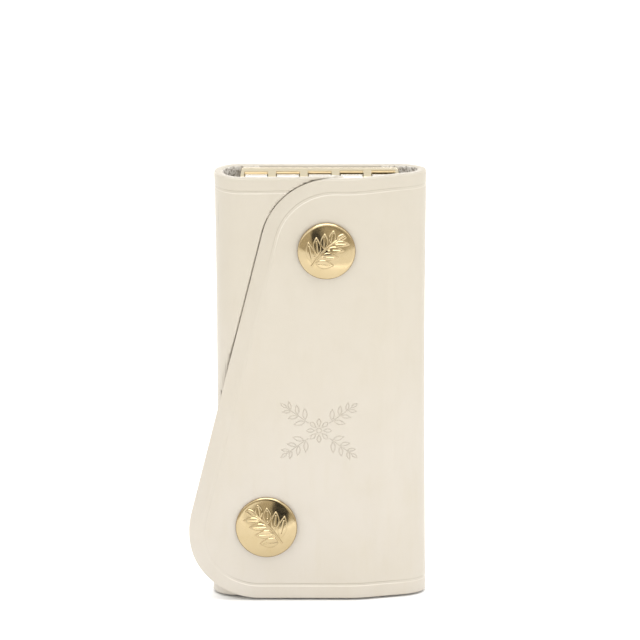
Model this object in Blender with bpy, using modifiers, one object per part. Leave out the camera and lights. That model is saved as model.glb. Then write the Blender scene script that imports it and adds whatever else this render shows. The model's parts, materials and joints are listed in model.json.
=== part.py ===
"""A folded leather key case with two snap caps and five swivelling key hooks.

Run it with: blender --background --python part.py
Units are metres, +Z is up and the two flaps face -Y. The origin is the middle of the
back panel's bottom edge, so the case stands on the plane Z = 0. The leather is one
sheet on the real case. Here it is parted at the lines where its two bends give way
when the case opens, so that every part of it can turn on its neighbour.
"""

from math import asin, atan2, cos, pi, radians, sin, sqrt, tan

import bmesh
import bpy
from mathutils import Matrix, Vector

MM = 0.001

# Case as a whole
CASE_DEPTH = 17.0 * MM
CASE_HEIGHT = 117.0 * MM
LEATHER = 2.4 * MM
FLAP_GAP = 0.3 * MM
FOLD_GAP = 0.3 * MM
PIECE_GAP = 0.3 * MM
FINE_GAP = 0.25 * MM
OVERRUN = 2.0 * MM
WELD = 0.001 * MM
SHARP_ANGLE = radians(35)

# Folds: each bend is a half circle that gives way along three upright lines
FOLD_LINES = (radians(60), 0.0, radians(-60))
ARC_STEP = radians(10)

# Outer flap's free edge, seen from the front
EDGE_LEAN = radians(13.8)
EDGE_OVERHANG = 12.06 * MM
TAIL_RADIUS = 19.0 * MM
SHOULDER_RADIUS = 20.0 * MM
OUTLINE_STEPS = 10
CORNER_STEPS = 5

# Inner flap's free edge, hidden behind the outer flap
INNER_EDGE_FOOT = -5.5 * MM
INNER_EDGE_HEAD = 11.0 * MM
INNER_CORNER_RADIUS = 6.0 * MM

# Snaps: where they sit and what their pieces measure
TOP_SNAP_X = 1.8 * MM
TOP_SNAP_DROP = 19.6 * MM
TOP_CAP_RADIUS = 7.75 * MM
LOW_SNAP_X = -14.3 * MM
LOW_SNAP_RISE = 20.6 * MM
LOW_CAP_RADIUS = 8.25 * MM
CAP_RISE = 2.1 * MM
CAP_RIM_HEIGHT = 0.75 * MM
CAP_SHEET = 0.45 * MM
CAP_ROLL = 0.15 * MM
CAP_CROWN_POWER = 4
CAP_CROWN_SHARE = 0.5
CAP_HOLLOW_SHARE = 0.75
CAP_FACE_STEPS = 7
CAP_POST_RADIUS = 1.3 * MM
PRESSED_LEATHER = 1.0 * MM
SOCKET_RADIUS = 5.6 * MM
SOCKET_MOUTH_RADIUS = 3.0 * MM
SOCKET_GROOVE_DEPTH = 0.6 * MM
SOCKET_GROOVE_HEIGHT = 0.6 * MM
SOCKET_EDGE = 0.2 * MM
RING_WIRE_RADIUS = 0.16 * MM
RING_MOUTH = radians(34)
STUD_RADIUS = 4.6 * MM
STUD_FLANGE = 0.45 * MM
STUD_SEAT_DEPTH = 0.8 * MM
KNOB_RADIUS = 1.9 * MM
KNOB_WALL = 0.6 * MM
KNOB_CROWN = 0.5 * MM
BASE_RADIUS = 4.1 * MM
BASE_FLANGE = 0.5 * MM
BASE_SEAT_DEPTH = 0.8 * MM
BASE_POST_RADIUS = 0.95 * MM
CAP_STEPS = 28
TURN_STEPS = 18

# Key plate: a folded brass plate whose front edge is curled round the hinge rod
PLATE_SIDE_ROOM = 7.1 * MM
PLATE_SHEET = 0.75 * MM
PLATE_HEIGHT = 10.5 * MM
PLATE_TOP_DROP = 0.2 * MM
PLATE_CREST_RADIUS = 0.8 * MM
PLATE_CURL_END = radians(312)
CREST_STEPS = 4
CURL_STEPS = 9
WINDOW_REACH = 1.4 * MM
ROD_DROP = 3.0 * MM
ROD_RADIUS = 0.8 * MM
ROD_HEAD_RADIUS = 1.3 * MM
ROD_HEAD = 0.6 * MM
HOOK_COUNT = 5
HOOK_ROOM = 0.7 * MM
KNUCKLE_WIDTH = 2.1 * MM
END_KNUCKLE_WIDTH = 1.0 * MM

# Rivets that hold the plate to the leather
RIVET_PITCH_SHARE = 1.5
RIVET_DROP = 6.7 * MM
RIVET_RADIUS = 1.0 * MM
RIVET_HEAD_RADIUS = 1.8 * MM
RIVET_HEAD = 0.9 * MM
RIVET_CAP_RADIUS = 3.2 * MM
RIVET_CAP_RISE = 1.3 * MM
RIVET_CAP_RIM = 0.4 * MM
RIVET_CAP_STEPS = 6
RIVET_GRIP = 0.55 * MM

# Key hooks: a hanger on the rod, a swivel pin in its foot, the hook and its gate
SLEEVE_WALL = 0.6 * MM
HANGER_THICKNESS = 2.4 * MM
HANGER_LEG = 0.9 * MM
HANGER_FOOT = 1.0 * MM
HANGER_DROP = 4.8 * MM
PIN_RADIUS = 0.5 * MM
PIN_HEAD_RADIUS = 1.4 * MM
PIN_HEAD = 0.8 * MM
PIN_HEAD_TOP_RADIUS = 1.0 * MM
PIN_GRIP = 2.2 * MM
HOOK_THICKNESS = 2.4 * MM
HOOK_EDGE = 0.15 * MM
HOOK_EYE_RADIUS = 2.5 * MM
HOOK_BAR = 1.4 * MM
HOOK_NECK_WIDTH = 3.8 * MM
HOOK_NECK_HEIGHT = 2.6 * MM
HOOK_SHOULDER_HEIGHT = 2.2 * MM
HOOK_ARM_LENGTH = 16.6 * MM
HOOK_TIP_LENGTH = 4.7 * MM
HOOK_STUB_WIDTH = 2.6 * MM
HOOK_STUB_HEIGHT = 1.0 * MM
HOOK_BROW_HEIGHT = 0.6 * MM
GATE_BARREL_RADIUS = 0.65 * MM
GATE_LEAF = 0.6 * MM
GATE_THICKNESS = 1.7 * MM
GATE_OVERLAP = 1.8 * MM
HOOK_STEPS = 6

# Sizes that follow from those above
HOOK_HALF_WIDTH = HOOK_EYE_RADIUS + HOOK_BAR
HOOK_PITCH = 2 * HOOK_HALF_WIDTH + HOOK_ROOM
WINDOW_WIDTH = HOOK_PITCH - KNUCKLE_WIDTH
HANGER_WIDTH = WINDOW_WIDTH - 2 * PIECE_GAP
PLATE_WIDTH = (HOOK_COUNT - 1) * HOOK_PITCH + WINDOW_WIDTH + 2 * END_KNUCKLE_WIDTH
CASE_WIDTH = PLATE_WIDTH + 2 * PLATE_SIDE_ROOM
EDGE_FOOT = CASE_WIDTH / 2 + EDGE_OVERHANG
BORE_RADIUS = ROD_RADIUS + PIECE_GAP
SLEEVE_RADIUS = BORE_RADIUS + SLEEVE_WALL
HOOK_TOP_DROP = HANGER_DROP + PIECE_GAP

# Places that follow from the sizes above
BACK_Y = LEATHER / 2
FRONT_Y = BACK_Y - CASE_DEPTH
INNER_FRONT_Y = FRONT_Y + LEATHER + FLAP_GAP
RIGHT_RADIUS = CASE_DEPTH / 2
RIGHT_CENTRE = Vector((CASE_WIDTH / 2 - RIGHT_RADIUS, BACK_Y - RIGHT_RADIUS, 0))
LEFT_RADIUS = (BACK_Y - INNER_FRONT_Y) / 2
LEFT_CENTRE = Vector((LEFT_RADIUS - CASE_WIDTH / 2, BACK_Y - LEFT_RADIUS, 0))
TOP_SNAP = (TOP_SNAP_X, CASE_HEIGHT - TOP_SNAP_DROP)
LOW_SNAP = (LOW_SNAP_X, LOW_SNAP_RISE)
LEAF_Y = -LEATHER / 2 - PIECE_GAP - PLATE_SHEET / 2
ROD_Y = (LEAF_Y - PLATE_SHEET / 2 + INNER_FRONT_Y + LEATHER) / 2
ROD_Z = CASE_HEIGHT - ROD_DROP


def clear_scene():
    """Removes every object of the scene that the script is run in."""
    for thing in list(bpy.data.objects):
        bpy.data.objects.remove(thing)


def new_collection(name):
    """Adds a collection to the scene."""
    group = bpy.data.collections.new(name)
    bpy.context.scene.collection.children.link(group)
    return group


clear_scene()
PARTS = new_collection("leather_key_case")
CUTTERS = new_collection("cutters")


def finish(name, colour, roughness, metallic):
    """A plain Principled material."""
    material = bpy.data.materials.new(name)
    material.use_nodes = True
    shader = material.node_tree.nodes["Principled BSDF"]
    shader.inputs["Base Color"].default_value = (*colour, 1.0)
    shader.inputs["Roughness"].default_value = roughness
    shader.inputs["Metallic"].default_value = metallic
    return material


FINISHES = {
    "ivory_leather": finish("ivory_leather", (0.83, 0.77, 0.66), 0.5, 0.0),
    "gilt_brass": finish("gilt_brass", (0.83, 0.62, 0.27), 0.2, 1.0),
    "plated_brass": finish("plated_brass", (0.80, 0.70, 0.48), 0.28, 1.0),
    "spring_steel": finish("spring_steel", (0.62, 0.62, 0.60), 0.3, 1.0),
}


def arc(centre, radius, start, end, steps):
    """Points of an arc in a flat pair of axes, both ends included."""
    angles = [start + (end - start) * i / steps for i in range(steps + 1)]
    return [(centre[0] + radius * cos(a), centre[1] + radius * sin(a)) for a in angles]


def place_of(thing):
    """Where an object's origin is in the case's own axes."""
    place = Vector((0, 0, 0))
    while thing:
        place += thing.location
        thing = thing.parent
    return place


def hang(thing, parent, place):
    """Parents an object and puts its origin at a place in the case's own axes."""
    thing.parent = parent
    thing.location = Vector(place) - place_of(parent)


def pivot(name, place, parent=None):
    """An empty on a joint's axis, which carries what turns there."""
    empty = bpy.data.objects.new(name, None)
    empty.empty_display_size = HOOK_PITCH / 2
    PARTS.objects.link(empty)
    hang(empty, parent, place)
    return empty


def add_part(name, mesh, material, parent, place, turn=(0, 0, 0)):
    """Makes one sub-part from a mesh, at a place in the case's own axes."""
    part = bpy.data.objects.new(name, mesh)
    mesh.materials.append(FINISHES[material])
    mesh.shade_smooth()
    mesh.set_sharp_from_angle(angle=SHARP_ANGLE)
    PARTS.objects.link(part)
    part.rotation_euler = turn
    hang(part, parent, place)
    return part


def add_cutter(mesh, place=(0, 0, 0), turn=(0, 0, 0)):
    """Makes a hidden tool for a Boolean, at a place in the case's own axes."""
    cutter = bpy.data.objects.new("cutter", mesh)
    CUTTERS.objects.link(cutter)
    cutter.location = place
    cutter.rotation_euler = turn
    cutter.hide_render = True
    cutter.display_type = "WIRE"
    return cutter


def join(part, cutter, operation):
    """Cuts, trims or joins a part by another object."""
    step = part.modifiers.new(operation.lower(), "BOOLEAN")
    step.operation = operation
    step.solver = "EXACT"
    step.object = cutter


def soften_edges(part, width):
    """Chamfers the sharp edges of a part."""
    step = part.modifiers.new("edge", "BEVEL")
    step.width = width
    step.segments = 1
    step.limit_method = "ANGLE"
    step.angle_limit = SHARP_ANGLE


def mesh_of_outline(name, loops, thickness):
    """A flat plate in X and Y, thick along Z, from an outline and any windows in it."""
    curve = bpy.data.curves.new(name, "CURVE")
    curve.dimensions = "2D"
    curve.fill_mode = "BOTH"
    curve.extrude = thickness / 2
    for loop in loops:
        spline = curve.splines.new("POLY")
        spline.points.add(len(loop) - 1)
        for point, (x, y) in zip(spline.points, loop):
            point.co = (x, y, 0, 1)
        spline.use_cyclic_u = True
    return mesh_of_curve(curve)


def mesh_of_curve(curve):
    """Turns a curve into a closed mesh, its caps welded, and removes the curve."""
    sketch = bpy.data.objects.new(curve.name, curve)
    CUTTERS.objects.link(sketch)
    shaped = sketch.evaluated_get(bpy.context.evaluated_depsgraph_get())
    mesh = bpy.data.meshes.new_from_object(shaped)
    shape = bmesh.new()
    shape.from_mesh(mesh)
    bmesh.ops.remove_doubles(shape, verts=shape.verts, dist=WELD)
    bmesh.ops.recalc_face_normals(shape, faces=shape.faces)
    shape.to_mesh(mesh)
    shape.free()
    bpy.data.objects.remove(sketch)
    return mesh


def mesh_of_rod(radius, length, steps=TURN_STEPS):
    """A round rod along Z, centred on its origin."""
    shape = bmesh.new()
    bmesh.ops.create_cone(
        shape, cap_ends=True, segments=steps, radius1=radius, radius2=radius, depth=length
    )
    mesh = bpy.data.meshes.new("rod")
    shape.to_mesh(mesh)
    shape.free()
    return mesh


def mesh_of_block(low, high):
    """A block between two corners."""
    shape = bmesh.new()
    bmesh.ops.create_cube(shape, size=1)
    size = Vector(high) - Vector(low)
    bmesh.ops.scale(shape, vec=size, verts=shape.verts)
    bmesh.ops.translate(shape, vec=(Vector(low) + Vector(high)) / 2, verts=shape.verts)
    mesh = bpy.data.meshes.new("block")
    shape.to_mesh(mesh)
    shape.free()
    return mesh


def mesh_of_wall(route, width):
    """An open surface along a route of points in X and Y, centred on Z = 0."""
    shape = bmesh.new()
    feet = [shape.verts.new((x, y, -width / 2)) for x, y in route]
    edges = [shape.edges.new(pair) for pair in zip(feet, feet[1:])]
    risen = bmesh.ops.extrude_edge_only(shape, edges=edges)["geom"]
    heads = [item for item in risen if isinstance(item, bmesh.types.BMVert)]
    bmesh.ops.translate(shape, vec=(0, 0, width), verts=heads)
    mesh = bpy.data.meshes.new("wall")
    shape.to_mesh(mesh)
    shape.free()
    return mesh


def thicken(part, thickness):
    """Gives a surface its thickness, half on either side."""
    step = part.modifiers.new("thickness", "SOLIDIFY")
    step.thickness = thickness
    step.offset = 0
    step.use_even_offset = True


def add_turned(name, profile, material, parent, place, turn, steps=TURN_STEPS):
    """A turned piece: its profile of radius and height runs down its outer side.

    A profile that leaves the middle free is closed into a ring.
    """
    mesh = bpy.data.meshes.new(name)
    points = [(radius, 0, height) for radius, height in profile]
    links = [(i, i + 1) for i in range(len(points) - 1)]
    if profile[0][0] > 0:
        links.append((len(points) - 1, 0))
    mesh.from_pydata(points, links, [])
    part = add_part(name, mesh, material, parent, place, turn)
    step = part.modifiers.new("turn", "SCREW")
    step.steps = steps
    step.render_steps = steps
    step.use_merge_vertices = True
    step.merge_threshold = WELD
    return part


TO_FRONT = (pi / 2, 0, 0)
TO_BACK = (-pi / 2, 0, 0)
TO_RIGHT = (0, pi / 2, 0)


def fold_place(centre, radius, angle):
    """A fold line's place: on the leather's outer side, at an angle of its bend."""
    return centre + Vector((radius * cos(angle), radius * sin(angle), 0))


def bend(centre, radius, start, end, open_start, open_end):
    """Both sides of a stretch of bend, drawn back half a gap at its open ends."""
    share = FOLD_GAP / 2 / radius
    first = start + share * open_start
    last = end - share * open_end
    steps = max(1, round((end - start) / ARC_STEP))
    outer = arc(centre, radius, first, last, steps)
    inner = arc(centre, radius - LEATHER, first, last, steps)
    return outer, inner


def add_leather(name, outer, inner, parent):
    """A standing piece of the leather, from the outer and inner sides of its section."""
    origin = place_of(parent) + Vector((0, 0, CASE_HEIGHT / 2))
    section = [(x - origin.x, y - origin.y) for x, y in outer + inner[::-1]]
    mesh = mesh_of_outline(name, [section], CASE_HEIGHT)
    return add_part(name, mesh, "ivory_leather", parent, origin)


def drill(part, spots, radius, near_y, far_y):
    """Cuts a round hole or seat along Y at each spot in X and Z."""
    for x, z in spots:
        length = abs(far_y - near_y)
        place = (x, (near_y + far_y) / 2, z)
        join(part, add_cutter(mesh_of_rod(radius, length), place, TO_FRONT), "DIFFERENCE")


def rivet_spots():
    """The two places in X and Z where the plate is riveted to the leather."""
    x = RIVET_PITCH_SHARE * HOOK_PITCH
    return [(side * x, CASE_HEIGHT - RIVET_DROP) for side in (-1, 1)]


def add_back_panel(parent):
    """The back panel, with the start of a bend at either side and its rivet holes."""
    first, last = FOLD_LINES[0], pi - FOLD_LINES[0]
    right = bend(RIGHT_CENTRE, RIGHT_RADIUS, first, pi / 2, 1, 0)
    left = bend(LEFT_CENTRE, LEFT_RADIUS, pi / 2, last, 0, 1)
    panel = add_leather("back_panel", right[0] + left[0], right[1] + left[1], parent)
    reach = LEATHER / 2 + OVERRUN
    drill(panel, rivet_spots(), RIVET_RADIUS + PIECE_GAP, -reach, reach)


def outer_outline():
    """The outer flap from the front: its slanting free edge, shoulder and round tail."""
    lean = Vector((cos(EDGE_LEAN), -sin(EDGE_LEAN)))

    def corner(radius, z):
        x = -EDGE_FOOT + z * tan(EDGE_LEAN) + radius / cos(EDGE_LEAN)
        return Vector((x, z))

    away = atan2(-lean.y, -lean.x)
    tail = corner(TAIL_RADIUS, TAIL_RADIUS)
    shoulder = corner(SHOULDER_RADIUS, CASE_HEIGHT - SHOULDER_RADIUS)
    right = CASE_WIDTH / 2 + OVERRUN
    points = [(right, -OVERRUN), (tail.x, -OVERRUN)]
    points += arc(tail, TAIL_RADIUS, -pi / 2, away - 2 * pi, OUTLINE_STEPS)
    points += arc(shoulder, SHOULDER_RADIUS, away, pi / 2, OUTLINE_STEPS)
    points += [(shoulder.x, CASE_HEIGHT + OVERRUN), (right, CASE_HEIGHT + OVERRUN)]
    return points


def inner_outline():
    """The inner flap from the front: a leaning free edge with two rounded corners."""
    rise = Vector((INNER_EDGE_HEAD - INNER_EDGE_FOOT, CASE_HEIGHT))
    lean = atan2(rise.x, rise.y)
    radius = INNER_CORNER_RADIUS

    def corner(z):
        x = INNER_EDGE_FOOT + z * tan(lean) - radius / cos(lean)
        return Vector((x, z))

    low, top = corner(radius), corner(CASE_HEIGHT - radius)
    left = -CASE_WIDTH / 2 - OVERRUN
    points = [(left, -OVERRUN), (low.x, -OVERRUN)]
    points += arc(low, radius, -pi / 2, -lean, CORNER_STEPS)
    points += arc(top, radius, -lean, pi / 2, CORNER_STEPS)
    points += [(top.x, CASE_HEIGHT + OVERRUN), (left, CASE_HEIGHT + OVERRUN)]
    return points


def trim_to(part, outline):
    """Trims a flap to its outline, cut straight through along Y."""
    mesh = mesh_of_outline("outline", [outline], 2 * CASE_DEPTH)
    join(part, add_cutter(mesh, (0, FRONT_Y, 0), TO_FRONT), "INTERSECT")


def add_outer_flap(parent):
    """The outer flap, with a seat for each socket and a hole for each cap's post."""
    outer, inner = bend(RIGHT_CENTRE, RIGHT_RADIUS, -pi / 2, FOLD_LINES[2], 0, 1)
    outer.insert(0, (-EDGE_FOOT, FRONT_Y))
    inner.insert(0, (-EDGE_FOOT, FRONT_Y + LEATHER))
    flap = add_leather("outer_flap", outer, inner, parent)
    trim_to(flap, outer_outline())
    spots = (TOP_SNAP, LOW_SNAP)
    seat_y = FRONT_Y + PRESSED_LEATHER
    back_y = FRONT_Y + LEATHER + OVERRUN
    drill(flap, spots, CAP_POST_RADIUS + PIECE_GAP, FRONT_Y - OVERRUN, back_y)
    drill(flap, spots, SOCKET_RADIUS + PIECE_GAP, seat_y, back_y)


def add_inner_flap(parent):
    """The inner flap, with a seat on either side for each stud and its base."""
    start = pi - FOLD_LINES[2]
    outer, inner = bend(LEFT_CENTRE, LEFT_RADIUS, start, 3 * pi / 2, 1, 0)
    outer.append((INNER_EDGE_HEAD + OVERRUN, INNER_FRONT_Y))
    inner.append((INNER_EDGE_HEAD + OVERRUN, INNER_FRONT_Y + LEATHER))
    flap = add_leather("inner_flap", outer, inner, parent)
    trim_to(flap, inner_outline())
    spots = (TOP_SNAP, LOW_SNAP)
    back_y = INNER_FRONT_Y + LEATHER
    near, far = INNER_FRONT_Y - OVERRUN, back_y + OVERRUN
    drill(flap, spots, BASE_POST_RADIUS + PIECE_GAP, near, far)
    drill(flap, spots, STUD_RADIUS + PIECE_GAP, near, INNER_FRONT_Y + STUD_SEAT_DEPTH)
    drill(flap, spots, BASE_RADIUS + PIECE_GAP, back_y - BASE_SEAT_DEPTH, far)


def cap_face(radius):
    """A cap's crowned face: from its middle out to the rim and down its side."""
    drop = (CAP_RISE - CAP_RIM_HEIGHT) * CAP_CROWN_SHARE
    shares = [i / CAP_FACE_STEPS for i in range(CAP_FACE_STEPS)]
    face = [(radius * share, CAP_RISE - drop * share**CAP_CROWN_POWER) for share in shares]
    return face + [(radius, CAP_RIM_HEIGHT), (radius - CAP_ROLL, FINE_GAP)]


def add_snap(label, spot, cap_radius, flap, inner):
    """One snap: cap and socket on the outer flap, stud and base on the inner flap."""
    x, z = spot
    outer_place = (x, FRONT_Y, z)
    inner_place = (x, INNER_FRONT_Y, z)
    add_cap(label, cap_radius, flap, outer_place)
    add_socket(label, flap, outer_place)
    add_stud(label, inner, inner_place)


def add_cap(label, radius, parent, place):
    """The domed cap, a hollow shell with its post in one piece."""
    post_end = -PRESSED_LEATHER + FINE_GAP / 2
    inside = radius - CAP_SHEET
    crown = CAP_RISE - CAP_SHEET
    profile = cap_face(radius)
    profile += [
        (inside, FINE_GAP),
        (inside, CAP_RIM_HEIGHT - CAP_ROLL),
        (inside * CAP_HOLLOW_SHARE, crown - CAP_SHEET / 2),
        (CAP_POST_RADIUS, crown),
        (CAP_POST_RADIUS, post_end),
        (0, post_end),
    ]
    name = f"{label}_snap_cap"
    add_turned(name, profile, "gilt_brass", parent, place, TO_FRONT, CAP_STEPS)


def add_socket(label, parent, place):
    """The socket ring behind the cap, and the split ring spring in its groove."""
    top = -PRESSED_LEATHER - FINE_GAP
    low = -LEATHER
    groove_middle = (top + low) / 2
    mouth = SOCKET_MOUTH_RADIUS
    deep = mouth + SOCKET_GROOVE_DEPTH
    half = SOCKET_GROOVE_HEIGHT / 2
    profile = [
        (SOCKET_RADIUS, top),
        (SOCKET_RADIUS, low + SOCKET_EDGE),
        (SOCKET_RADIUS - SOCKET_EDGE, low),
        (mouth + SOCKET_EDGE, low),
        (mouth, low + SOCKET_EDGE),
        (mouth, groove_middle - half),
        (deep, groove_middle - half),
        (deep, groove_middle + half),
        (mouth, groove_middle + half),
        (mouth, top),
    ]
    name = f"{label}_snap_socket"
    add_turned(name, profile, "gilt_brass", parent, place, TO_FRONT)
    add_ring(f"{label}_snap_ring", parent, Vector(place) - Vector((0, groove_middle, 0)))


def add_ring(name, parent, place):
    """The split ring of spring wire that grips the stud."""
    curve = bpy.data.curves.new(name, "CURVE")
    curve.dimensions = "3D"
    curve.bevel_depth = RING_WIRE_RADIUS
    curve.bevel_resolution = 1
    curve.use_fill_caps = True
    radius = SOCKET_MOUTH_RADIUS + RING_WIRE_RADIUS / 2
    points = arc((0, 0), radius, RING_MOUTH / 2, 2 * pi - RING_MOUTH / 2, TURN_STEPS)
    spline = curve.splines.new("POLY")
    spline.points.add(len(points) - 1)
    for point, (x, y) in zip(spline.points, points):
        point.co = (x, y, 0, 1)
    add_part(name, mesh_of_curve(curve), "spring_steel", parent, place, TO_FRONT)


def add_stud(label, parent, place):
    """The stud, a hollow knob on a flange, and the base whose post it is closed on."""
    flange_top = -FINE_GAP / 2
    flange_low = flange_top - STUD_FLANGE
    socket_floor = FLAP_GAP + LEATHER - PRESSED_LEATHER
    knob_top = socket_floor - FINE_GAP
    hollow = KNOB_RADIUS - KNOB_WALL
    stud = [
        (0, knob_top),
        (KNOB_RADIUS - KNOB_CROWN, knob_top),
        (KNOB_RADIUS, knob_top - KNOB_CROWN),
        (KNOB_RADIUS, flange_top),
        (STUD_RADIUS, flange_top),
        (STUD_RADIUS, flange_low),
        (hollow, flange_low),
        (hollow, knob_top - KNOB_WALL),
        (0, knob_top - KNOB_WALL),
    ]
    add_turned(f"{label}_snap_stud", stud, "gilt_brass", parent, place, TO_FRONT)
    post_top = knob_top - KNOB_WALL - FINE_GAP
    base_low = -LEATHER
    base_top = base_low + BASE_FLANGE
    base = [
        (0, post_top),
        (BASE_POST_RADIUS, post_top),
        (BASE_POST_RADIUS, base_top),
        (BASE_RADIUS, base_top),
        (BASE_RADIUS, base_low),
        (0, base_low),
    ]
    add_turned(f"{label}_snap_base", base, "gilt_brass", parent, place, TO_FRONT)


def plate_route():
    """The plate's middle line in Y and Z: leaf, crest, roof and the curl at its front."""
    crest = Vector((
        LEAF_Y - PLATE_CREST_RADIUS,
        CASE_HEIGHT - PLATE_TOP_DROP - PLATE_SHEET / 2 - PLATE_CREST_RADIUS,
    ))
    curl = Vector((ROD_Y, ROD_Z))
    curl_radius = BORE_RADIUS + PLATE_SHEET / 2
    run = curl - crest
    lead = (curl_radius - PLATE_CREST_RADIUS) / run.length
    tangent = atan2(run.y, run.x) + 2 * pi - pi / 2 - asin(lead)
    foot = CASE_HEIGHT - PLATE_TOP_DROP - PLATE_HEIGHT
    points = [(LEAF_Y, foot)]
    points += arc(crest, PLATE_CREST_RADIUS, 0, tangent, CREST_STEPS)
    points += arc(curl, curl_radius, tangent, PLATE_CURL_END, CURL_STEPS)
    return points


def add_key_plate(parent):
    """The plate, with a window for each hook's hanger and its two rivet holes."""
    route = [(z, -y) for y, z in plate_route()]
    mesh = mesh_of_wall(route, PLATE_WIDTH)
    turn = Matrix(((0, 0, 1), (0, -1, 0), (1, 0, 0))).to_euler()
    plate = add_part("key_plate", mesh, "plated_brass", parent, (0, 0, 0), turn)
    thicken(plate, PLATE_SHEET)
    half = WINDOW_WIDTH / 2
    for x in hook_places():
        low = (x - half, FRONT_Y, ROD_Z - SLEEVE_RADIUS - OVERRUN)
        high = (x + half, ROD_Y + WINDOW_REACH, CASE_HEIGHT + OVERRUN)
        join(plate, add_cutter(mesh_of_block(low, high)), "DIFFERENCE")
    near, far = LEAF_Y - OVERRUN, LEAF_Y + OVERRUN
    drill(plate, rivet_spots(), RIVET_RADIUS + PIECE_GAP, near, far)


def add_hinge_rod(parent):
    """The rod through the plate's knuckles, with a head at either end."""
    half = PLATE_WIDTH / 2 + PIECE_GAP
    end = half + ROD_HEAD
    profile = [
        (0, end),
        (ROD_HEAD_RADIUS, end),
        (ROD_HEAD_RADIUS, half),
        (ROD_RADIUS, half),
        (ROD_RADIUS, -half),
        (ROD_HEAD_RADIUS, -half),
        (ROD_HEAD_RADIUS, -end),
        (0, -end),
    ]
    place = (0, ROD_Y, ROD_Z)
    add_turned("hinge_rod", profile, "plated_brass", parent, place, TO_RIGHT)


def add_rivets(parent):
    """Two rivets through plate and leather, each closed by a domed cap at the back."""
    seat = LEAF_Y - PLATE_SHEET / 2 - FINE_GAP - BACK_Y
    grip = FINE_GAP + RIVET_GRIP
    for label, (x, z) in zip(("left", "right"), rivet_spots()):
        place = (x, BACK_Y, z)
        rivet = [
            (0, grip),
            (RIVET_RADIUS, grip),
            (RIVET_RADIUS, seat),
            (RIVET_HEAD_RADIUS, seat),
            (RIVET_HEAD_RADIUS, seat - RIVET_HEAD / 2),
            (RIVET_HEAD_RADIUS - RIVET_HEAD / 2, seat - RIVET_HEAD),
            (0, seat - RIVET_HEAD),
        ]
        add_turned(f"{label}_plate_rivet", rivet, "plated_brass", parent, place, TO_BACK)
        hole = RIVET_RADIUS + FINE_GAP
        ceiling = grip + FINE_GAP
        top = FINE_GAP + RIVET_CAP_RISE
        cap = arc((0, 0), RIVET_CAP_RADIUS, pi / 2, 0, RIVET_CAP_STEPS)
        drop = (RIVET_CAP_RISE - RIVET_CAP_RIM) / RIVET_CAP_RADIUS
        cap = [(r, top - (RIVET_CAP_RADIUS - h) * drop) for r, h in cap]
        cap += [(RIVET_CAP_RADIUS, FINE_GAP), (hole, FINE_GAP), (hole, ceiling), (0, ceiling)]
        add_turned(f"{label}_rivet_cap", cap, "gilt_brass", parent, place, TO_BACK)


def hook_places():
    """Where the hooks hang along X, from left to right."""
    return [(i - (HOOK_COUNT - 1) / 2) * HOOK_PITCH for i in range(HOOK_COUNT)]


def add_hanger(name, parent):
    """The hanger: a sleeve on the rod and a frame below it whose foot holds the pin."""
    place = place_of(parent)
    half = HANGER_WIDTH / 2
    inner = half - HANGER_LEG
    top = -BORE_RADIUS / 2
    window_top = -BORE_RADIUS
    window_low = HANGER_FOOT - HANGER_DROP
    frame = [(-half, -HANGER_DROP), (half, -HANGER_DROP), (half, top), (-half, top)]
    window = [(-inner, window_low), (-inner, window_top), (inner, window_top), (inner, window_low)]
    mesh = mesh_of_outline(name, [frame, window], HANGER_THICKNESS)
    hanger = add_part(name, mesh, "plated_brass", parent, place, TO_FRONT)
    sleeve = mesh_of_rod(SLEEVE_RADIUS, HANGER_WIDTH)
    join(hanger, add_cutter(sleeve, place, TO_RIGHT), "UNION")
    bore = mesh_of_rod(BORE_RADIUS, HANGER_WIDTH + OVERRUN)
    join(hanger, add_cutter(bore, place, TO_RIGHT), "DIFFERENCE")
    eye = mesh_of_rod(PIN_RADIUS + PIECE_GAP, HANGER_FOOT + 2 * PIECE_GAP)
    foot = place - Vector((0, 0, HANGER_DROP - HANGER_FOOT / 2))
    join(hanger, add_cutter(eye, foot), "DIFFERENCE")


def add_pin(name, parent, place):
    """The swivel pin: its head stands on the hanger's foot, its end is in the hook."""
    head_low = HANGER_FOOT + FINE_GAP
    profile = [
        (0, head_low + PIN_HEAD),
        (PIN_HEAD_TOP_RADIUS, head_low + PIN_HEAD),
        (PIN_HEAD_RADIUS, head_low + PIN_HEAD / 2),
        (PIN_HEAD_RADIUS, head_low),
        (PIN_RADIUS, head_low),
        (PIN_RADIUS, -PIECE_GAP - PIN_GRIP),
        (0, -PIECE_GAP - PIN_GRIP),
    ]
    add_turned(name, profile, "plated_brass", parent, place, (0, 0, 0))


def hook_outline():
    """The hook from the front, measured from the middle of its top edge."""
    neck = HOOK_NECK_WIDTH / 2
    wide = HOOK_HALF_WIDTH
    eye = HOOK_EYE_RADIUS
    shoulder = -HOOK_NECK_HEIGHT - HOOK_SHOULDER_HEIGHT
    brow = shoulder - HOOK_BROW_HEIGHT
    stub = shoulder - HOOK_STUB_HEIGHT
    bottom = shoulder - HOOK_ARM_LENGTH
    stub_middle = wide - HOOK_STUB_WIDTH / 2
    seat = GATE_BARREL_RADIUS + PIECE_GAP
    tip = (wide + eye) / 2
    points = [(-neck, 0), (neck, 0), (neck, -HOOK_NECK_HEIGHT), (wide, shoulder), (wide, stub)]
    points += arc((stub_middle, stub), seat, 0, pi, HOOK_STEPS)
    points += [(wide - HOOK_STUB_WIDTH, stub), (wide - HOOK_STUB_WIDTH, brow), (-eye, brow)]
    points += arc((0, bottom), eye, pi, 2 * pi, 2 * HOOK_STEPS)
    points += arc((tip, bottom + HOOK_TIP_LENGTH), HOOK_BAR / 2, pi, 0, HOOK_STEPS)
    points += arc((0, bottom), wide, 0, -pi, 2 * HOOK_STEPS)
    points += [(-wide, shoulder), (-neck, -HOOK_NECK_HEIGHT)]
    return points


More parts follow.
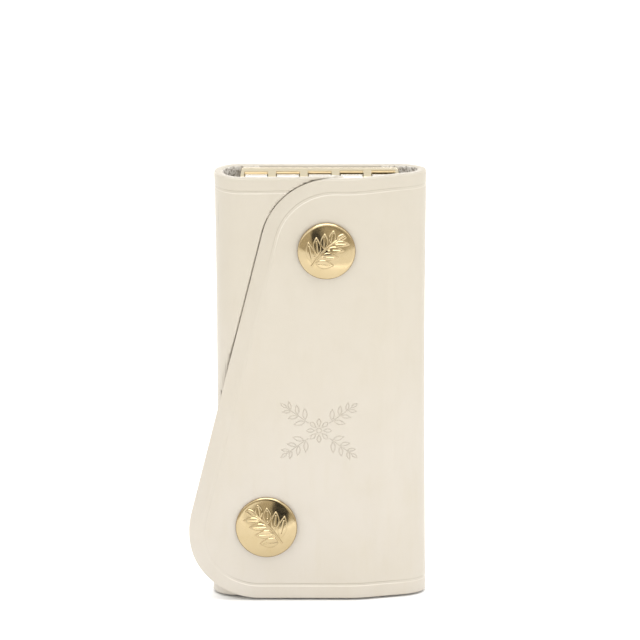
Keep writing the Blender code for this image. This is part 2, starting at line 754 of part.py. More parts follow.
def gate_sizes():
    """The gate's pivot in the hook, its length and its lean towards the hook's inside."""
    shoulder = -HOOK_NECK_HEIGHT - HOOK_SHOULDER_HEIGHT
    pivot_x = HOOK_HALF_WIDTH - HOOK_STUB_WIDTH / 2
    pivot_z = shoulder - HOOK_STUB_HEIGHT
    tip_top = shoulder - HOOK_ARM_LENGTH + HOOK_TIP_LENGTH + HOOK_BAR / 2
    rest_x = HOOK_EYE_RADIUS - FINE_GAP - GATE_LEAF / 2
    drop = pivot_z - tip_top + GATE_OVERLAP
    length = sqrt(drop**2 + (pivot_x - rest_x) ** 2)
    return pivot_x, pivot_z, length, atan2(pivot_x - rest_x, drop)


def gate_outline(length):
    """The gate hanging straight down: a leaf with a barrel at its top."""
    half = GATE_LEAF / 2
    waist = asin(half / GATE_BARREL_RADIUS)
    start, end = -pi / 2 + waist, 3 * pi / 2 - waist
    points = arc((0, 0), GATE_BARREL_RADIUS, start, end, 2 * HOOK_STEPS)
    points += arc((0, half - length), half, pi, 2 * pi, HOOK_STEPS // 2)
    return points


def add_hook(label, x, parent):
    """One key hook: hanger, swivel pin, hook body and spring gate, each on its pivot."""
    rod_place = Vector((x, ROD_Y, ROD_Z))
    swing = pivot(f"{label}_swing", rod_place, parent)
    add_hanger(f"{label}_hanger", swing)
    foot = rod_place - Vector((0, 0, HANGER_DROP))
    swivel = pivot(f"{label}_swivel", foot, swing)
    add_pin(f"{label}_swivel_pin", swivel, foot)
    top = rod_place - Vector((0, 0, HOOK_TOP_DROP))
    mesh = mesh_of_outline(label, [hook_outline()], HOOK_THICKNESS)
    hook = add_part(f"{label}_body", mesh, "plated_brass", swivel, top, TO_FRONT)
    soften_edges(hook, HOOK_EDGE)
    depth = PIN_GRIP + PIECE_GAP
    socket = mesh_of_rod(PIN_RADIUS + FINE_GAP, 2 * depth)
    join(hook, add_cutter(socket, top), "DIFFERENCE")
    pivot_x, pivot_z, length, lean = gate_sizes()
    gate_place = top + Vector((pivot_x, 0, pivot_z))
    hinge = pivot(f"{label}_gate_pivot", gate_place, swivel)
    mesh = mesh_of_outline(label, [gate_outline(length)], GATE_THICKNESS)
    turn = (Matrix.Rotation(lean, 3, "Y") @ Matrix.Rotation(pi / 2, 3, "X")).to_euler()
    add_part(f"{label}_gate", mesh, "spring_steel", hinge, gate_place, turn)


def add_fold_chain(label, centre, radius, angles, root):
    """A bend's pivots, one at each fold line, with a strip of leather between them."""
    pivots = []
    parent = root
    for step, angle in enumerate(angles):
        parent = pivot(f"{label}_fold_{step + 1}", fold_place(centre, radius, angle), parent)
        pivots.append(parent)
    names = ("back", "front")
    for name, empty, ends in zip(names, pivots, zip(angles, angles[1:])):
        sides = bend(centre, radius, min(ends), max(ends), 1, 1)
        add_leather(f"{label}_bend_{name}", *sides, empty)
    return pivots[-1]


def build():
    """Models every piece of the case."""
    root = pivot("case_back", (0, 0, 0))
    add_back_panel(root)
    add_key_plate(root)
    add_hinge_rod(root)
    add_rivets(root)
    right = add_fold_chain("right", RIGHT_CENTRE, RIGHT_RADIUS, FOLD_LINES, root)
    mirrored = [pi - angle for angle in FOLD_LINES]
    left = add_fold_chain("left", LEFT_CENTRE, LEFT_RADIUS, mirrored, root)
    add_outer_flap(right)
    add_inner_flap(left)
    add_snap("top", TOP_SNAP, TOP_CAP_RADIUS, right, left)
    add_snap("low", LOW_SNAP, LOW_CAP_RADIUS, right, left)
    for number, x in enumerate(hook_places(), 1):
        add_hook(f"hook_{number}", x, root)


build()
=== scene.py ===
"""Looks of a folded leather key case: one sheet of ivory leather round a brass key plate.

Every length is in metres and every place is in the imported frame's own axes: +Z is up,
the two flaps face -Y, and the origin is the middle of the back panel's bottom edge.
"""

import json
import logging
from collections.abc import Callable, Iterator, Sequence
from contextlib import contextmanager
from dataclasses import dataclass, field, replace
from enum import Enum
from math import asin, atan2, cos, pi, radians, sin, sqrt, tan

import bmesh
import bpy
import numpy as np
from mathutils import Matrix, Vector


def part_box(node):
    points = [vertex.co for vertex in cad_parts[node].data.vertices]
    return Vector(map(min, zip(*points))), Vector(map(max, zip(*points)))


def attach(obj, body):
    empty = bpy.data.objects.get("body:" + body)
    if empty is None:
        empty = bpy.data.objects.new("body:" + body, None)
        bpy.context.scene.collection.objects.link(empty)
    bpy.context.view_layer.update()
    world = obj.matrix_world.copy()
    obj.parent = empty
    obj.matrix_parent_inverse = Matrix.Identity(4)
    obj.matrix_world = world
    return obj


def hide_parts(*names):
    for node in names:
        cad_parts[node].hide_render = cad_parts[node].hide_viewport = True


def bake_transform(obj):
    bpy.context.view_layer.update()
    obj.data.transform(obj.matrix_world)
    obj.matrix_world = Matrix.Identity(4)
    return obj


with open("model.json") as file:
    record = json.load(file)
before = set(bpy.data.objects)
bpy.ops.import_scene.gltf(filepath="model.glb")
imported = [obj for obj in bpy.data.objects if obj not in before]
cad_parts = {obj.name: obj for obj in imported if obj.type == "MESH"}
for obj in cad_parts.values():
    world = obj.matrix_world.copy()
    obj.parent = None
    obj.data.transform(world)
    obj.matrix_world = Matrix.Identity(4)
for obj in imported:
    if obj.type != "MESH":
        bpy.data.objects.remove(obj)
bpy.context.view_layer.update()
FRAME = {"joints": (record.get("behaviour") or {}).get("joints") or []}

MM = 0.001
CENTRE = Vector((0.0, 0.0, 0.0))
LOG = logging.getLogger("key_case")

Colour = tuple[float, float, float]
Place = Sequence[float]


class Kind(Enum):
    """What is picked in edit mode."""

    VERTS = "VERT"
    EDGES = "EDGE"
    FACES = "FACE"


class Slot(Enum):
    """The record's material slots."""

    LEATHER = "ivory_leather"
    GILT = "gilt_brass"
    PLATED = "plated_brass"
    STEEL = "spring_steel"


class Turn(Enum):
    """How a piece made upright about Z is turned to face another way."""

    UPRIGHT = (0.0, 0.0, 0.0)
    TO_FRONT = (pi / 2, 0.0, 0.0)
    TO_BACK = (-pi / 2, 0.0, 0.0)
    TO_RIGHT = (0.0, pi / 2, 0.0)


# Modelling, as by hand


def deselect() -> None:
    """Leaves object mode with nothing selected."""
    if bpy.context.mode != "OBJECT":
        bpy.ops.object.mode_set(mode="OBJECT")
    bpy.ops.object.select_all(action="DESELECT")


def take(piece: bpy.types.Object) -> None:
    """Selects one object alone and makes it the active one.

    Args:
        piece: The object to work on.
    """
    deselect()
    piece.select_set(True)
    bpy.context.view_layer.objects.active = piece


def settle(piece: bpy.types.Object) -> bpy.types.Object:
    """Puts an object's place, turn and size into its mesh.

    Args:
        piece: The object to settle.

    Returns:
        The same object, at the origin.
    """
    take(piece)
    bpy.ops.object.transform_apply(location=True, rotation=True, scale=True)
    return piece


@contextmanager
def editing(piece: bpy.types.Object) -> Iterator[None]:
    """Opens one object in edit mode with nothing picked, and leaves it again.

    Args:
        piece: The object to edit.
    """
    take(piece)
    bpy.ops.object.mode_set(mode="EDIT")
    bpy.ops.mesh.select_mode(type=Kind.VERTS.value)
    bpy.ops.mesh.select_all(action="DESELECT")
    yield
    bpy.ops.object.mode_set(mode="OBJECT")


def pick(piece: bpy.types.Object, kind: Kind, test: Callable[..., bool]) -> None:
    """Picks, in edit mode, the elements that pass a test, and no others.

    Args:
        piece: The object in edit mode.
        kind: Whether vertices, edges or faces are picked.
        test: Takes one element and says whether it is picked.
    """
    bpy.ops.mesh.select_mode(type=kind.value)
    bpy.ops.mesh.select_all(action="DESELECT")
    shape = bmesh.from_edit_mesh(piece.data)
    shape.normal_update()
    groups = {Kind.VERTS: shape.verts, Kind.EDGES: shape.edges, Kind.FACES: shape.faces}
    chosen = [item for item in groups[kind] if test(item)]
    for item in chosen:
        item.select_set(True)
    shape.select_flush_mode()
    bmesh.update_edit_mesh(piece.data)


def add_box(name: str, low: Place, high: Place) -> bpy.types.Object:
    """Adds a box between two corners.

    Args:
        name: The object's name.
        low: The lowest corner.
        high: The highest corner.

    Returns:
        The box, with its place in its mesh.
    """
    deselect()
    low, high = Vector(low), Vector(high)
    bpy.ops.mesh.primitive_cube_add(size=1, location=(low + high) / 2, scale=high - low)
    bpy.context.object.name = name
    return settle(bpy.context.object)


def add_rod(
    name: str, place: Place, radius: float, length: float, turn: Turn, steps: int = 64
) -> bpy.types.Object:
    """Adds a round rod.

    Args:
        name: The object's name.
        place: The rod's middle.
        radius: Its radius.
        length: Its length.
        turn: Which way it points.
        steps: How many sides it has.

    Returns:
        The rod, with its place in its mesh.
    """
    deselect()
    bpy.ops.mesh.primitive_cylinder_add(
        vertices=steps, radius=radius, depth=length, location=place, rotation=turn.value
    )
    bpy.context.object.name = name
    return settle(bpy.context.object)


def apply_modifier(piece: bpy.types.Object, kind: str, **settings: object) -> None:
    """Adds a modifier with its settings and applies it.

    Args:
        piece: The object that gets it.
        kind: The modifier's type.
        settings: The modifier's properties and their values.
    """
    take(piece)
    step = piece.modifiers.new(kind.title(), kind)
    for name, value in settings.items():
        setattr(step, name, value)
    bpy.ops.object.modifier_apply(modifier=step.name)


def combine(
    piece: bpy.types.Object, tool: bpy.types.Object, operation: str = "DIFFERENCE"
) -> None:
    """Cuts, trims or joins a piece by a tool, which is used up.

    Args:
        piece: The object that is changed.
        tool: The object that changes it.
        operation: DIFFERENCE, INTERSECT or UNION.
    """
    apply_modifier(piece, "BOOLEAN", object=tool, operation=operation, solver="EXACT")
    bpy.data.objects.remove(tool)


def round_edges(piece: bpy.types.Object, width: float, segments: int = 3) -> None:
    """Rounds every sharp edge of a piece.

    Args:
        piece: The object to round.
        width: How far the rounding reaches from the edge.
        segments: How many faces it has.
    """
    apply_modifier(
        piece,
        "BEVEL",
        width=width,
        segments=segments,
        limit_method="ANGLE",
        angle_limit=radians(32),
        use_clamp_overlap=True,
    )


def smooth(piece: bpy.types.Object, angle: float = radians(38)) -> None:
    """Shades a piece smooth but for its sharp edges.

    Args:
        piece: The object to shade.
        angle: The angle from which an edge counts as sharp.
    """
    take(piece)
    bpy.ops.object.shade_smooth_by_angle(angle=angle)


def copy_of(piece: bpy.types.Object, name: str, step: Place) -> bpy.types.Object:
    """Copies a piece, with a mesh of its own, to another place.

    Args:
        piece: The object to copy.
        name: The copy's name.
        step: How far it goes from the first one.

    Returns:
        The copy.
    """
    take(piece)
    bpy.ops.object.duplicate(linked=False)
    twin = bpy.context.object
    twin.name = name
    twin.location = step
    return settle(twin)


class Pen:
    """Draws a chain of points in edit mode, one extruded after another."""

    def __init__(self, name: str, start: Place) -> None:
        """Puts the pen down.

        Args:
            name: The name of the object that is drawn.
            start: The first point.
        """
        deselect()
        bpy.ops.mesh.primitive_plane_add(size=MM, location=start)
        self.piece = settle(bpy.context.object)
        self.piece.name = name
        self.here = Vector(start)
        bpy.ops.object.mode_set(mode="EDIT")
        bpy.ops.mesh.select_mode(type=Kind.VERTS.value)
        bpy.ops.mesh.select_all(action="SELECT")
        bpy.ops.mesh.merge(type="CENTER")

    def draw(self, points: Sequence[Place]) -> "Pen":
        """Draws straight lines to each point in turn.

        Args:
            points: The points after the present one.

        Returns:
            The pen itself.
        """
        for point in points:
            step = Vector(point) - self.here
            bpy.ops.mesh.extrude_vertices_move(TRANSFORM_OT_translate={"value": step})
            self.here = Vector(point)
        return self

    def fill(self) -> bpy.types.Object:
        """Closes the chain into one face and leaves edit mode.

        Returns:
            The object with its one face.
        """
        bpy.ops.mesh.select_all(action="SELECT")
        bpy.ops.mesh.edge_face_add()
        bpy.ops.object.mode_set(mode="OBJECT")
        return self.piece

    def lift(self) -> bpy.types.Object:
        """Leaves edit mode with the chain as it is."""
        bpy.ops.object.mode_set(mode="OBJECT")
        return self.piece


def arc(
    centre: Sequence[float], radius: float, start: float, end: float, steps: int
) -> list[tuple[float, float]]:
    """Points of an arc in a flat pair of axes, both ends included.

    Args:
        centre: Its middle.
        radius: Its radius.
        start: The angle of its first point.
        end: The angle of its last point.
        steps: How many chords it has.

    Returns:
        The points, from first to last.
    """
    angles = [start + (end - start) * i / steps for i in range(steps + 1)]
    return [(centre[0] + radius * cos(a), centre[1] + radius * sin(a)) for a in angles]


def cut_plate(
    name: str, outline: Sequence[tuple[float, float]], thickness: float
) -> bpy.types.Object:
    """A flat plate standing in X and Z, from its outline.

    Args:
        name: The object's name.
        outline: The points of its outline in X and Z.
        thickness: How thick it is, half on either side of Y = 0.

    Returns:
        The closed plate.
    """
    points = [(x, -thickness / 2, z) for x, z in outline]
    piece = Pen(name, points[0]).draw(points[1:]).fill()
    with editing(piece):
        bpy.ops.mesh.select_all(action="SELECT")
        bpy.ops.mesh.extrude_region_move(TRANSFORM_OT_translate={"value": (0, thickness, 0)})
        bpy.ops.mesh.select_all(action="SELECT")
        bpy.ops.mesh.normals_make_consistent(inside=False)
    return piece


def turn_on_lathe(
    name: str,
    profile: Sequence[tuple[float, float]],
    steps: int,
    turn: Turn,
    place: Place,
    edge: float = 0.0,
    tilt: float = 0.0,
) -> bpy.types.Object:
    """A turned piece, from the profile of its radius and height.

    Args:
        name: The object's name.
        profile: Radius and height, from point to point; one that leaves the middle
            free is closed into a ring.
        steps: How many steps the full turn has.
        turn: Which way its axis points.
        place: Where the profile's height is nil.
        edge: How far its sharp edges are rounded.
        tilt: How far it leans about the upright.

    Returns:
        The finished mesh as an object.
    """
    points = [(radius, 0, height) for radius, height in profile]
    if profile[0][0] > 0:
        points.append(points[0])
    piece = Pen(name, points[0]).draw(points[1:]).lift()
    with editing(piece):
        bpy.ops.mesh.select_all(action="SELECT")
        bpy.ops.mesh.spin(steps=steps, angle=2 * pi, center=(0, 0, 0), axis=(0, 0, 1))
        bpy.ops.mesh.select_all(action="SELECT")
        bpy.ops.mesh.remove_doubles(threshold=0.001 * MM)
        bpy.ops.mesh.normals_make_consistent(inside=False)
    if edge:
        round_edges(piece, edge, 2)
    piece.rotation_euler = turn.value
    settle(piece)
    piece.rotation_euler = (0, 0, tilt)
    piece.location = place
    settle(piece)
    smooth(piece)
    return piece


def points_of(piece: bpy.types.Object) -> np.ndarray:
    """Reads the places of a mesh's vertices.

    Args:
        piece: The object whose mesh is read.

    Returns:
        The places, one to a row.
    """
    flat = np.empty(len(piece.data.vertices) * 3)
    piece.data.vertices.foreach_get("co", flat)
    return flat.reshape(-1, 3)


def move_points(piece: bpy.types.Object, points: np.ndarray) -> None:
    """Puts a mesh's vertices at new places.

    Args:
        piece: The object whose mesh is changed.
        points: The new places, one to a row.
    """
    piece.data.vertices.foreach_set("co", np.ascontiguousarray(points).ravel())
    piece.data.update()


def ease(low: float, high: float, value: np.ndarray) -> np.ndarray:
    """A smooth step from 0 at one value to 1 at another.

    Args:
        low: Where it leaves 0.
        high: Where it reaches 1.
        value: The values that are eased.

    Returns:
        One number from 0 to 1 for each value.
    """
    share = np.clip((value - low) / (high - low), 0, 1)
    return share * share * (3 - 2 * share)


# Shader maths


class Signal:
    """A shader socket that takes part in sums, as a number does."""

    def __init__(self, graph: "Graph", socket: bpy.types.NodeSocket) -> None:
        """Wraps a socket.

        Args:
            graph: The graph that the socket belongs to.
            socket: The output that carries the value.
        """
        self.graph = graph
        self.socket = socket

    def __add__(self, other: "Signal | float") -> "Signal":
        """The sum."""
        return self.graph.math("ADD", self, other)

    def __radd__(self, other: float) -> "Signal":
        """The sum, from the right."""
        return self.graph.math("ADD", other, self)

    def __sub__(self, other: "Signal | float") -> "Signal":
        """The difference."""
        return self.graph.math("SUBTRACT", self, other)

    def __rsub__(self, other: float) -> "Signal":
        """The difference, from the right."""
        return self.graph.math("SUBTRACT", other, self)

    def __mul__(self, other: "Signal | float") -> "Signal":
        """The product."""
        return self.graph.math("MULTIPLY", self, other)

    def __rmul__(self, other: float) -> "Signal":
        """The product, from the right."""
        return self.graph.math("MULTIPLY", other, self)

    def eased(self, low: float, high: float) -> "Signal":
        """A smooth step from 0 to 1.

        Args:
            low: The value at which it leaves 0.
            high: The value at which it reaches 1.

        Returns:
            The eased value.
        """
        made = self.graph.node(
            "ShaderNodeMapRange",
            {"interpolation_type": "SMOOTHSTEP"},
            {"Value": self, "From Min": low, "From Max": high},
        )
        return Signal(self.graph, made.outputs["Result"])


class Graph:
    """One material's nodes, with the shader that they feed."""

    def __init__(self, name: str) -> None:
        """Starts a material with its shader.

        Args:
            name: The material's name.
        """
        self.material = bpy.data.materials.new(name)
        self.material.use_nodes = True
        self.tree = self.material.node_tree
        self.shader = self.tree.nodes["Principled BSDF"]
        self.place = self.output("ShaderNodeTexCoord", {}, {}, "Object")

    def node(self, kind: str, settings: dict, sockets: dict) -> bpy.types.Node:
        """Adds one node.

        Args:
            kind: The node's type.
            settings: Its properties, set first; stops are a ramp's places and colours.
            sockets: Its inputs by name, identifier or number, each a value or a link.

        Returns:
            The node.
        """
        made = self.tree.nodes.new(kind)
        for name, value in settings.items():
            if name == "stops":
                self.set_stops(made.color_ramp, value)
            else:
                setattr(made, name, value)
        for name, value in sockets.items():
            self.feed(self.find(made, name), value)
        return made

    @staticmethod
    def set_stops(ramp: bpy.types.ColorRamp, stops: Sequence[tuple[float, Colour]]) -> None:
        """Gives a ramp its stops.

        Args:
            ramp: The ramp.
            stops: Place and colour of each stop, from left to right.
        """
        while len(ramp.elements) < len(stops):
            ramp.elements.new(1.0)
        for element, (place, colour) in zip(ramp.elements, stops):
            element.position = place
            element.color = (*colour, 1.0)

    @staticmethod
    def find(made: bpy.types.Node, name: str | int) -> bpy.types.NodeSocket:
        """Finds one input of a node.

        Args:
            made: The node.
            name: The input's number, identifier or name.

        Returns:
            The input.
        """
        if isinstance(name, int):
            return made.inputs[name]
        by_identifier = [item for item in made.inputs if item.identifier == name]
        return by_identifier[0] if by_identifier else made.inputs[name]

    def feed(self, socket: bpy.types.NodeSocket, value: object) -> None:
        """Gives an input a link or a value.

        Args:
            socket: The input.
            value: A signal, a number, a colour or a vector.
        """
        if isinstance(value, Signal):
            self.tree.links.new(value.socket, socket)
        elif socket.type == "RGBA":
            socket.default_value = (*value, 1.0)
        else:
            socket.default_value = value

    def output(self, kind: str, settings: dict, sockets: dict, name: str | int = 0) -> Signal:
        """Adds one node and takes one of its outputs, by its name or number."""
        return Signal(self, self.node(kind, settings, sockets).outputs[name])

    def math(self, operation: str, *values: Signal | float) -> Signal:
        """A Math node on two values."""
        sockets = dict(enumerate(values))
        return self.output("ShaderNodeMath", {"operation": operation}, sockets)

    def noise(self, scale: float, detail: float = 3.0, rough: float = 0.5) -> Signal:
        """A noise from 0 to 1 over the piece, so many to the metre."""
        sockets = {"Vector": self.place, "Scale": scale, "Detail": detail, "Roughness": rough}
        return self.output("ShaderNodeTexNoise", {}, sockets, "Fac")

    def stretched(self, scale: Place) -> Signal:
        """The piece's own place, stretched along its axes."""
        sockets = {"Vector": self.place, "Scale": scale}
        return self.output("ShaderNodeMapping", {}, sockets, "Vector")

    def blend(self, share: Signal | float, first: object, second: object) -> Signal:
        """A colour between two colours.

        Args:
            share: How much of the second colour it has.
            first: The first colour, a value or a signal.
            second: The second colour.

        Returns:
            The mixed colour.
        """
        made = self.node(
            "ShaderNodeMix",
            {"data_type": "RGBA"},
            {"Factor_Float": share, "A_Color": first, "B_Color": second},
        )
        return Signal(self, made.outputs[2])

    def attribute(self, name: str) -> Signal:
        """A number that the mesh carries at each of its points."""
        return self.output("ShaderNodeAttribute", {"attribute_name": name}, {}, "Fac")

    def bump(self, height: Signal, distance: float, strength: float = 1.0) -> Signal:
        """A normal from a height of 0 to 1 over a real distance."""
        sockets = {"Height": height, "Distance": distance, "Strength": strength}
        return self.output("ShaderNodeBump", {}, sockets, "Normal")

    def dress(self, **sockets: object) -> bpy.types.Material:
        """Feeds the shader's inputs, underscores standing for spaces.

        Args:
            sockets: The shader's inputs, each a value or a signal.

        Returns:
            The finished material.
        """
        for name, value in sockets.items():
            self.feed(self.shader.inputs[name.replace("_", " ")], value)
        return self.material


# Finishes


@dataclass(frozen=True)
class Leather:
    """Smooth ivory leather: faint clouds, fine pores and a soft wax sheen, with painted shade and a
    painted highlight on the crease's walls and a painted lighter tone low down.
    """

    colour: Colour = (0.534, 0.488, 0.406)
    cloud: Colour = (0.516, 0.467, 0.381)
    pore: Colour = (0.455, 0.394, 0.303)
    # The pressed mark's own darker tone, also used as painted shade on the crease's down-facing
    # wall.
    tooling_and_painted_shade: Colour = (0.31, 0.27, 0.21)
    # Painted highlight on the crease's up-facing wall.
    painted_crease_highlight: Colour = (0.75, 0.70, 0.615)
    # Painted light: the lighter, paler tone that the grain side takes towards the bottom.
    low: Colour = (0.543, 0.500, 0.438)
    roughness: float = 0.47
    pore_size: float = 0.42 * MM

    def material(self) -> bpy.types.Material:
        """Makes the grain side's material.

        Returns:
            The material.
        """
        graph = Graph("ivory_leather_grain")
        clouds = graph.noise(34, 4, 0.6).eased(0.35, 0.75)
        streaks = graph.output(
            "ShaderNodeTexNoise",
            {},
            {"Vector": graph.stretched((1, 1, 0.22)), "Scale": 420, "Detail": 3},
        ).eased(0.45, 0.8)
        cells = graph.output(
            "ShaderNodeTexVoronoi",
            {"feature": "DISTANCE_TO_EDGE"},
            {"Vector": graph.place, "Scale": 1 / self.pore_size, "Randomness": 1.0},
            "Distance",
        ).eased(0.0, 0.16)
        patches = graph.noise(160, 3).eased(0.3, 0.8)
        pores = (1 - cells) * patches
        # Painted light: the grain side is blended lighter towards the bottom, by height.
        height = graph.output("ShaderNodeSeparateXYZ", {}, {"Vector": graph.place}, "Z")
        tint = graph.blend(height.eased(0.11, 0.0), self.colour, self.low)
        tint = graph.blend(clouds * 0.55 + streaks * 0.3, tint, self.cloud)
        tint = graph.blend(pores * 0.10, tint, self.pore)
        # Painted shade on the crease's down-facing wall over the pressed mark's own darker tone,
        # then a painted highlight on its up-facing wall.
        tint = graph.blend(graph.attribute("tooling_and_painted_shade"), tint, self.tooling_and_painted_shade)
        tint = graph.blend(graph.attribute("painted_crease_highlight"), tint, self.painted_crease_highlight)
        relief = 1 - pores * 0.8 + graph.noise(5200, 2) * 0.25 + graph.noise(900, 3) * 0.5
        return graph.dress(
            Base_Color=tint,
            Roughness=self.roughness + clouds * 0.06 - graph.attribute("tooling_and_painted_shade") * 0.08,
            Normal=graph.bump(relief, 0.016 * MM),
            Specular_IOR_Level=0.45,
            Sheen_Weight=0.22,
            Sheen_Roughness=0.35,
        )


@dataclass(frozen=True)
class LeatherEdge:
    """The cut edge of the leather, finished with wax, a shade warmer than its face."""

    colour: Colour = (0.475, 0.433, 0.362)
    core: Colour = (0.40, 0.356, 0.284)
    roughness: float = 0.5

    def material(self) -> bpy.types.Material:
        """Makes the edge's material.

        Returns:
            The material.
        """
        graph = Graph("ivory_leather_edge")
        layers = graph.noise(1500, 3).eased(0.35, 0.75)
        tint = graph.blend(layers * 0.5, self.colour, self.core)
        return graph.dress(
            Base_Color=tint,
            Roughness=self.roughness + layers * 0.1,
            Normal=graph.bump(graph.noise(2600, 3), 0.03 * MM),
            Specular_IOR_Level=0.4,
        )


@dataclass(frozen=True)
class Suede:
    """The napped flesh side: grey with brown and pale flecks."""

    colour: Colour = (0.69, 0.655, 0.60)
    fleck: Colour = (0.20, 0.165, 0.125)
    pale: Colour = (0.90, 0.875, 0.83)
    fleck_size: float = 0.55 * MM

    def material(self) -> bpy.types.Material:
        """Makes the flesh side's material.

        Returns:
            The material.
        """
        graph = Graph("suede")
        flecks = graph.noise(0.75 / self.fleck_size, 3, 0.65).eased(0.50, 0.56)
        pale = graph.noise(0.6 / self.fleck_size + 400, 2, 0.6).eased(0.53, 0.60)
        nap = graph.output(
            "ShaderNodeTexNoise",
            {},
            {"Vector": graph.stretched((1, 1, 0.3)), "Scale": 5200, "Detail": 4},
        )
        tint = graph.blend(pale * 0.7, self.colour, self.pale)
        tint = graph.blend(flecks * 0.7, tint, self.fleck)
        height = nap + graph.noise(1700, 3) * 0.8
        return graph.dress(
            Base_Color=tint,
            Roughness=0.93,
            Normal=graph.bump(height, 0.10 * MM),
            Specular_IOR_Level=0.15,
            Sheen_Weight=0.35,
        )


@dataclass(frozen=True)
class Metal:
    """A polished or plated metal with fine wear, and a dark tint where its mesh marks it: patina in
    hollows and painted shade.
    """

    name: str
    colour: Colour
    worn: Colour
    patina_and_painted_shade: Colour
    roughness: float
    scratch: float = 0.35
    dents: float = 0.6
    grain: Place = (1.0, 1.0, 1.0)

    def material(self) -> bpy.types.Material:
        """Makes the metal's material.

        Returns:
            The material.
        """
        graph = Graph(self.name)
        wear = graph.noise(320, 4, 0.6).eased(0.42, 0.72)
        lines = graph.output(
            "ShaderNodeTexNoise",
            {},
            {"Vector": graph.stretched(self.grain), "Scale": 2600, "Detail": 3},
        )
        tint = graph.blend(wear * 0.45, self.colour, self.worn)
        # Dark tint where the mesh marks it: partly patina and partly painted shade round the caps'
        # relief, and painted shade on their rims and on the plate's cut edges.
        tint = graph.blend(graph.attribute("patina_and_painted_shade"), tint, self.patina_and_painted_shade)
        rough = self.roughness + wear * 0.05 + lines * 0.05 + graph.attribute("patina_and_painted_shade") * 0.12
        height = lines * self.scratch + graph.noise(700, 2) * self.dents
        return graph.dress(
            Base_Color=tint,
            Metallic=1.0,
            Roughness=rough,
            Normal=graph.bump(height, 0.006 * MM),
        )


GILT = Metal(
    "gilt_brass_polished",
    colour=(0.53, 0.422, 0.25),
    worn=(0.50, 0.39, 0.215),
    patina_and_painted_shade=(0.22, 0.135, 0.05),
    roughness=0.075,
)
PLATED = Metal(
    "plated_brass_satin",
    colour=(0.66, 0.58, 0.42),
    worn=(0.63, 0.55, 0.39),
    patina_and_painted_shade=(0.36, 0.27, 0.14),
    roughness=0.20,
    scratch=0.2,
    dents=0.06,
    grain=(0.08, 1.0, 1.0),
)
NICKEL = Metal(
    "pale_nickel_polished",
    colour=(0.82, 0.78, 0.71),
    worn=(0.76, 0.71, 0.62),
    patina_and_painted_shade=(0.45, 0.40, 0.30),
    roughness=0.16,
    grain=(0.08, 1.0, 1.0),
)
STEEL = Metal(
    "spring_steel_satin",
    colour=(0.66, 0.65, 0.62),
    worn=(0.56, 0.55, 0.52),
    patina_and_painted_shade=(0.25, 0.23, 0.20),
    roughness=0.27,
    grain=(1.0, 1.0, 0.08),
)


def dress(piece: bpy.types.Object, finish: bpy.types.Material, body: str) -> None:
    """Gives a piece its material and lets it ride on a body.

    Args:
        piece: The finished piece.
        finish: Its material.
        body: The body that it moves with.
    """
    piece.data.materials.clear()
    piece.data.materials.append(finish)
    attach(piece, body)


# The case's own places


@dataclass(frozen=True)
class Case:
    """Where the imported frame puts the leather."""

    height: float
    thickness: float
    back_y: float
    front_y: float
    inner_y: float
    right: Vector
    left: Vector

    @classmethod
    def from_frame(cls) -> "Case":
        """Reads the leather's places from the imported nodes.

        Returns:
            The case's places.
        """
        outer_low, outer_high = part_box("outer_flap")
        inner_low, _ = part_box("inner_flap")
        back_low, back_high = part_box("back_panel")
        back_y, front_y, inner_y = back_high.y, outer_low.y, inner_low.y
        right_radius, left_radius = (back_y - front_y) / 2, (back_y - inner_y) / 2
        right_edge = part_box("right_bend_front")[1].x
        left_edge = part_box("left_bend_front")[0].x
        return cls(
            height=outer_high.z - back_low.z,
            thickness=2 * back_y,
            back_y=back_y,
            front_y=front_y,
            inner_y=inner_y,
            right=Vector((right_edge - right_radius, back_y - right_radius)),
            left=Vector((left_edge + left_radius, back_y - left_radius)),
        )

    @property
    def right_radius(self) -> float:
        """The right bend's outer radius."""
        return self.back_y - self.right.y

    @property
    def left_radius(self) -> float:
        """The left bend's outer radius."""
        return self.back_y - self.left.y


@dataclass(frozen=True)
class SnapPlace:
    """One snap's axis and cap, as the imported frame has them."""

    label: str
    x: float
    z: float
    radius: float

    @classmethod
    def from_frame(cls, label: str) -> "SnapPlace":
        """Reads a snap's place from its packed cap.

        Args:
            label: The first word of the snap's names.

        Returns:
            The snap's place.
        """
        low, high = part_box(f"{label}_snap_cap")
        middle = (low + high) / 2
        return cls(label, middle.x, middle.z, (high.z - low.z) / 2)


# Ornament


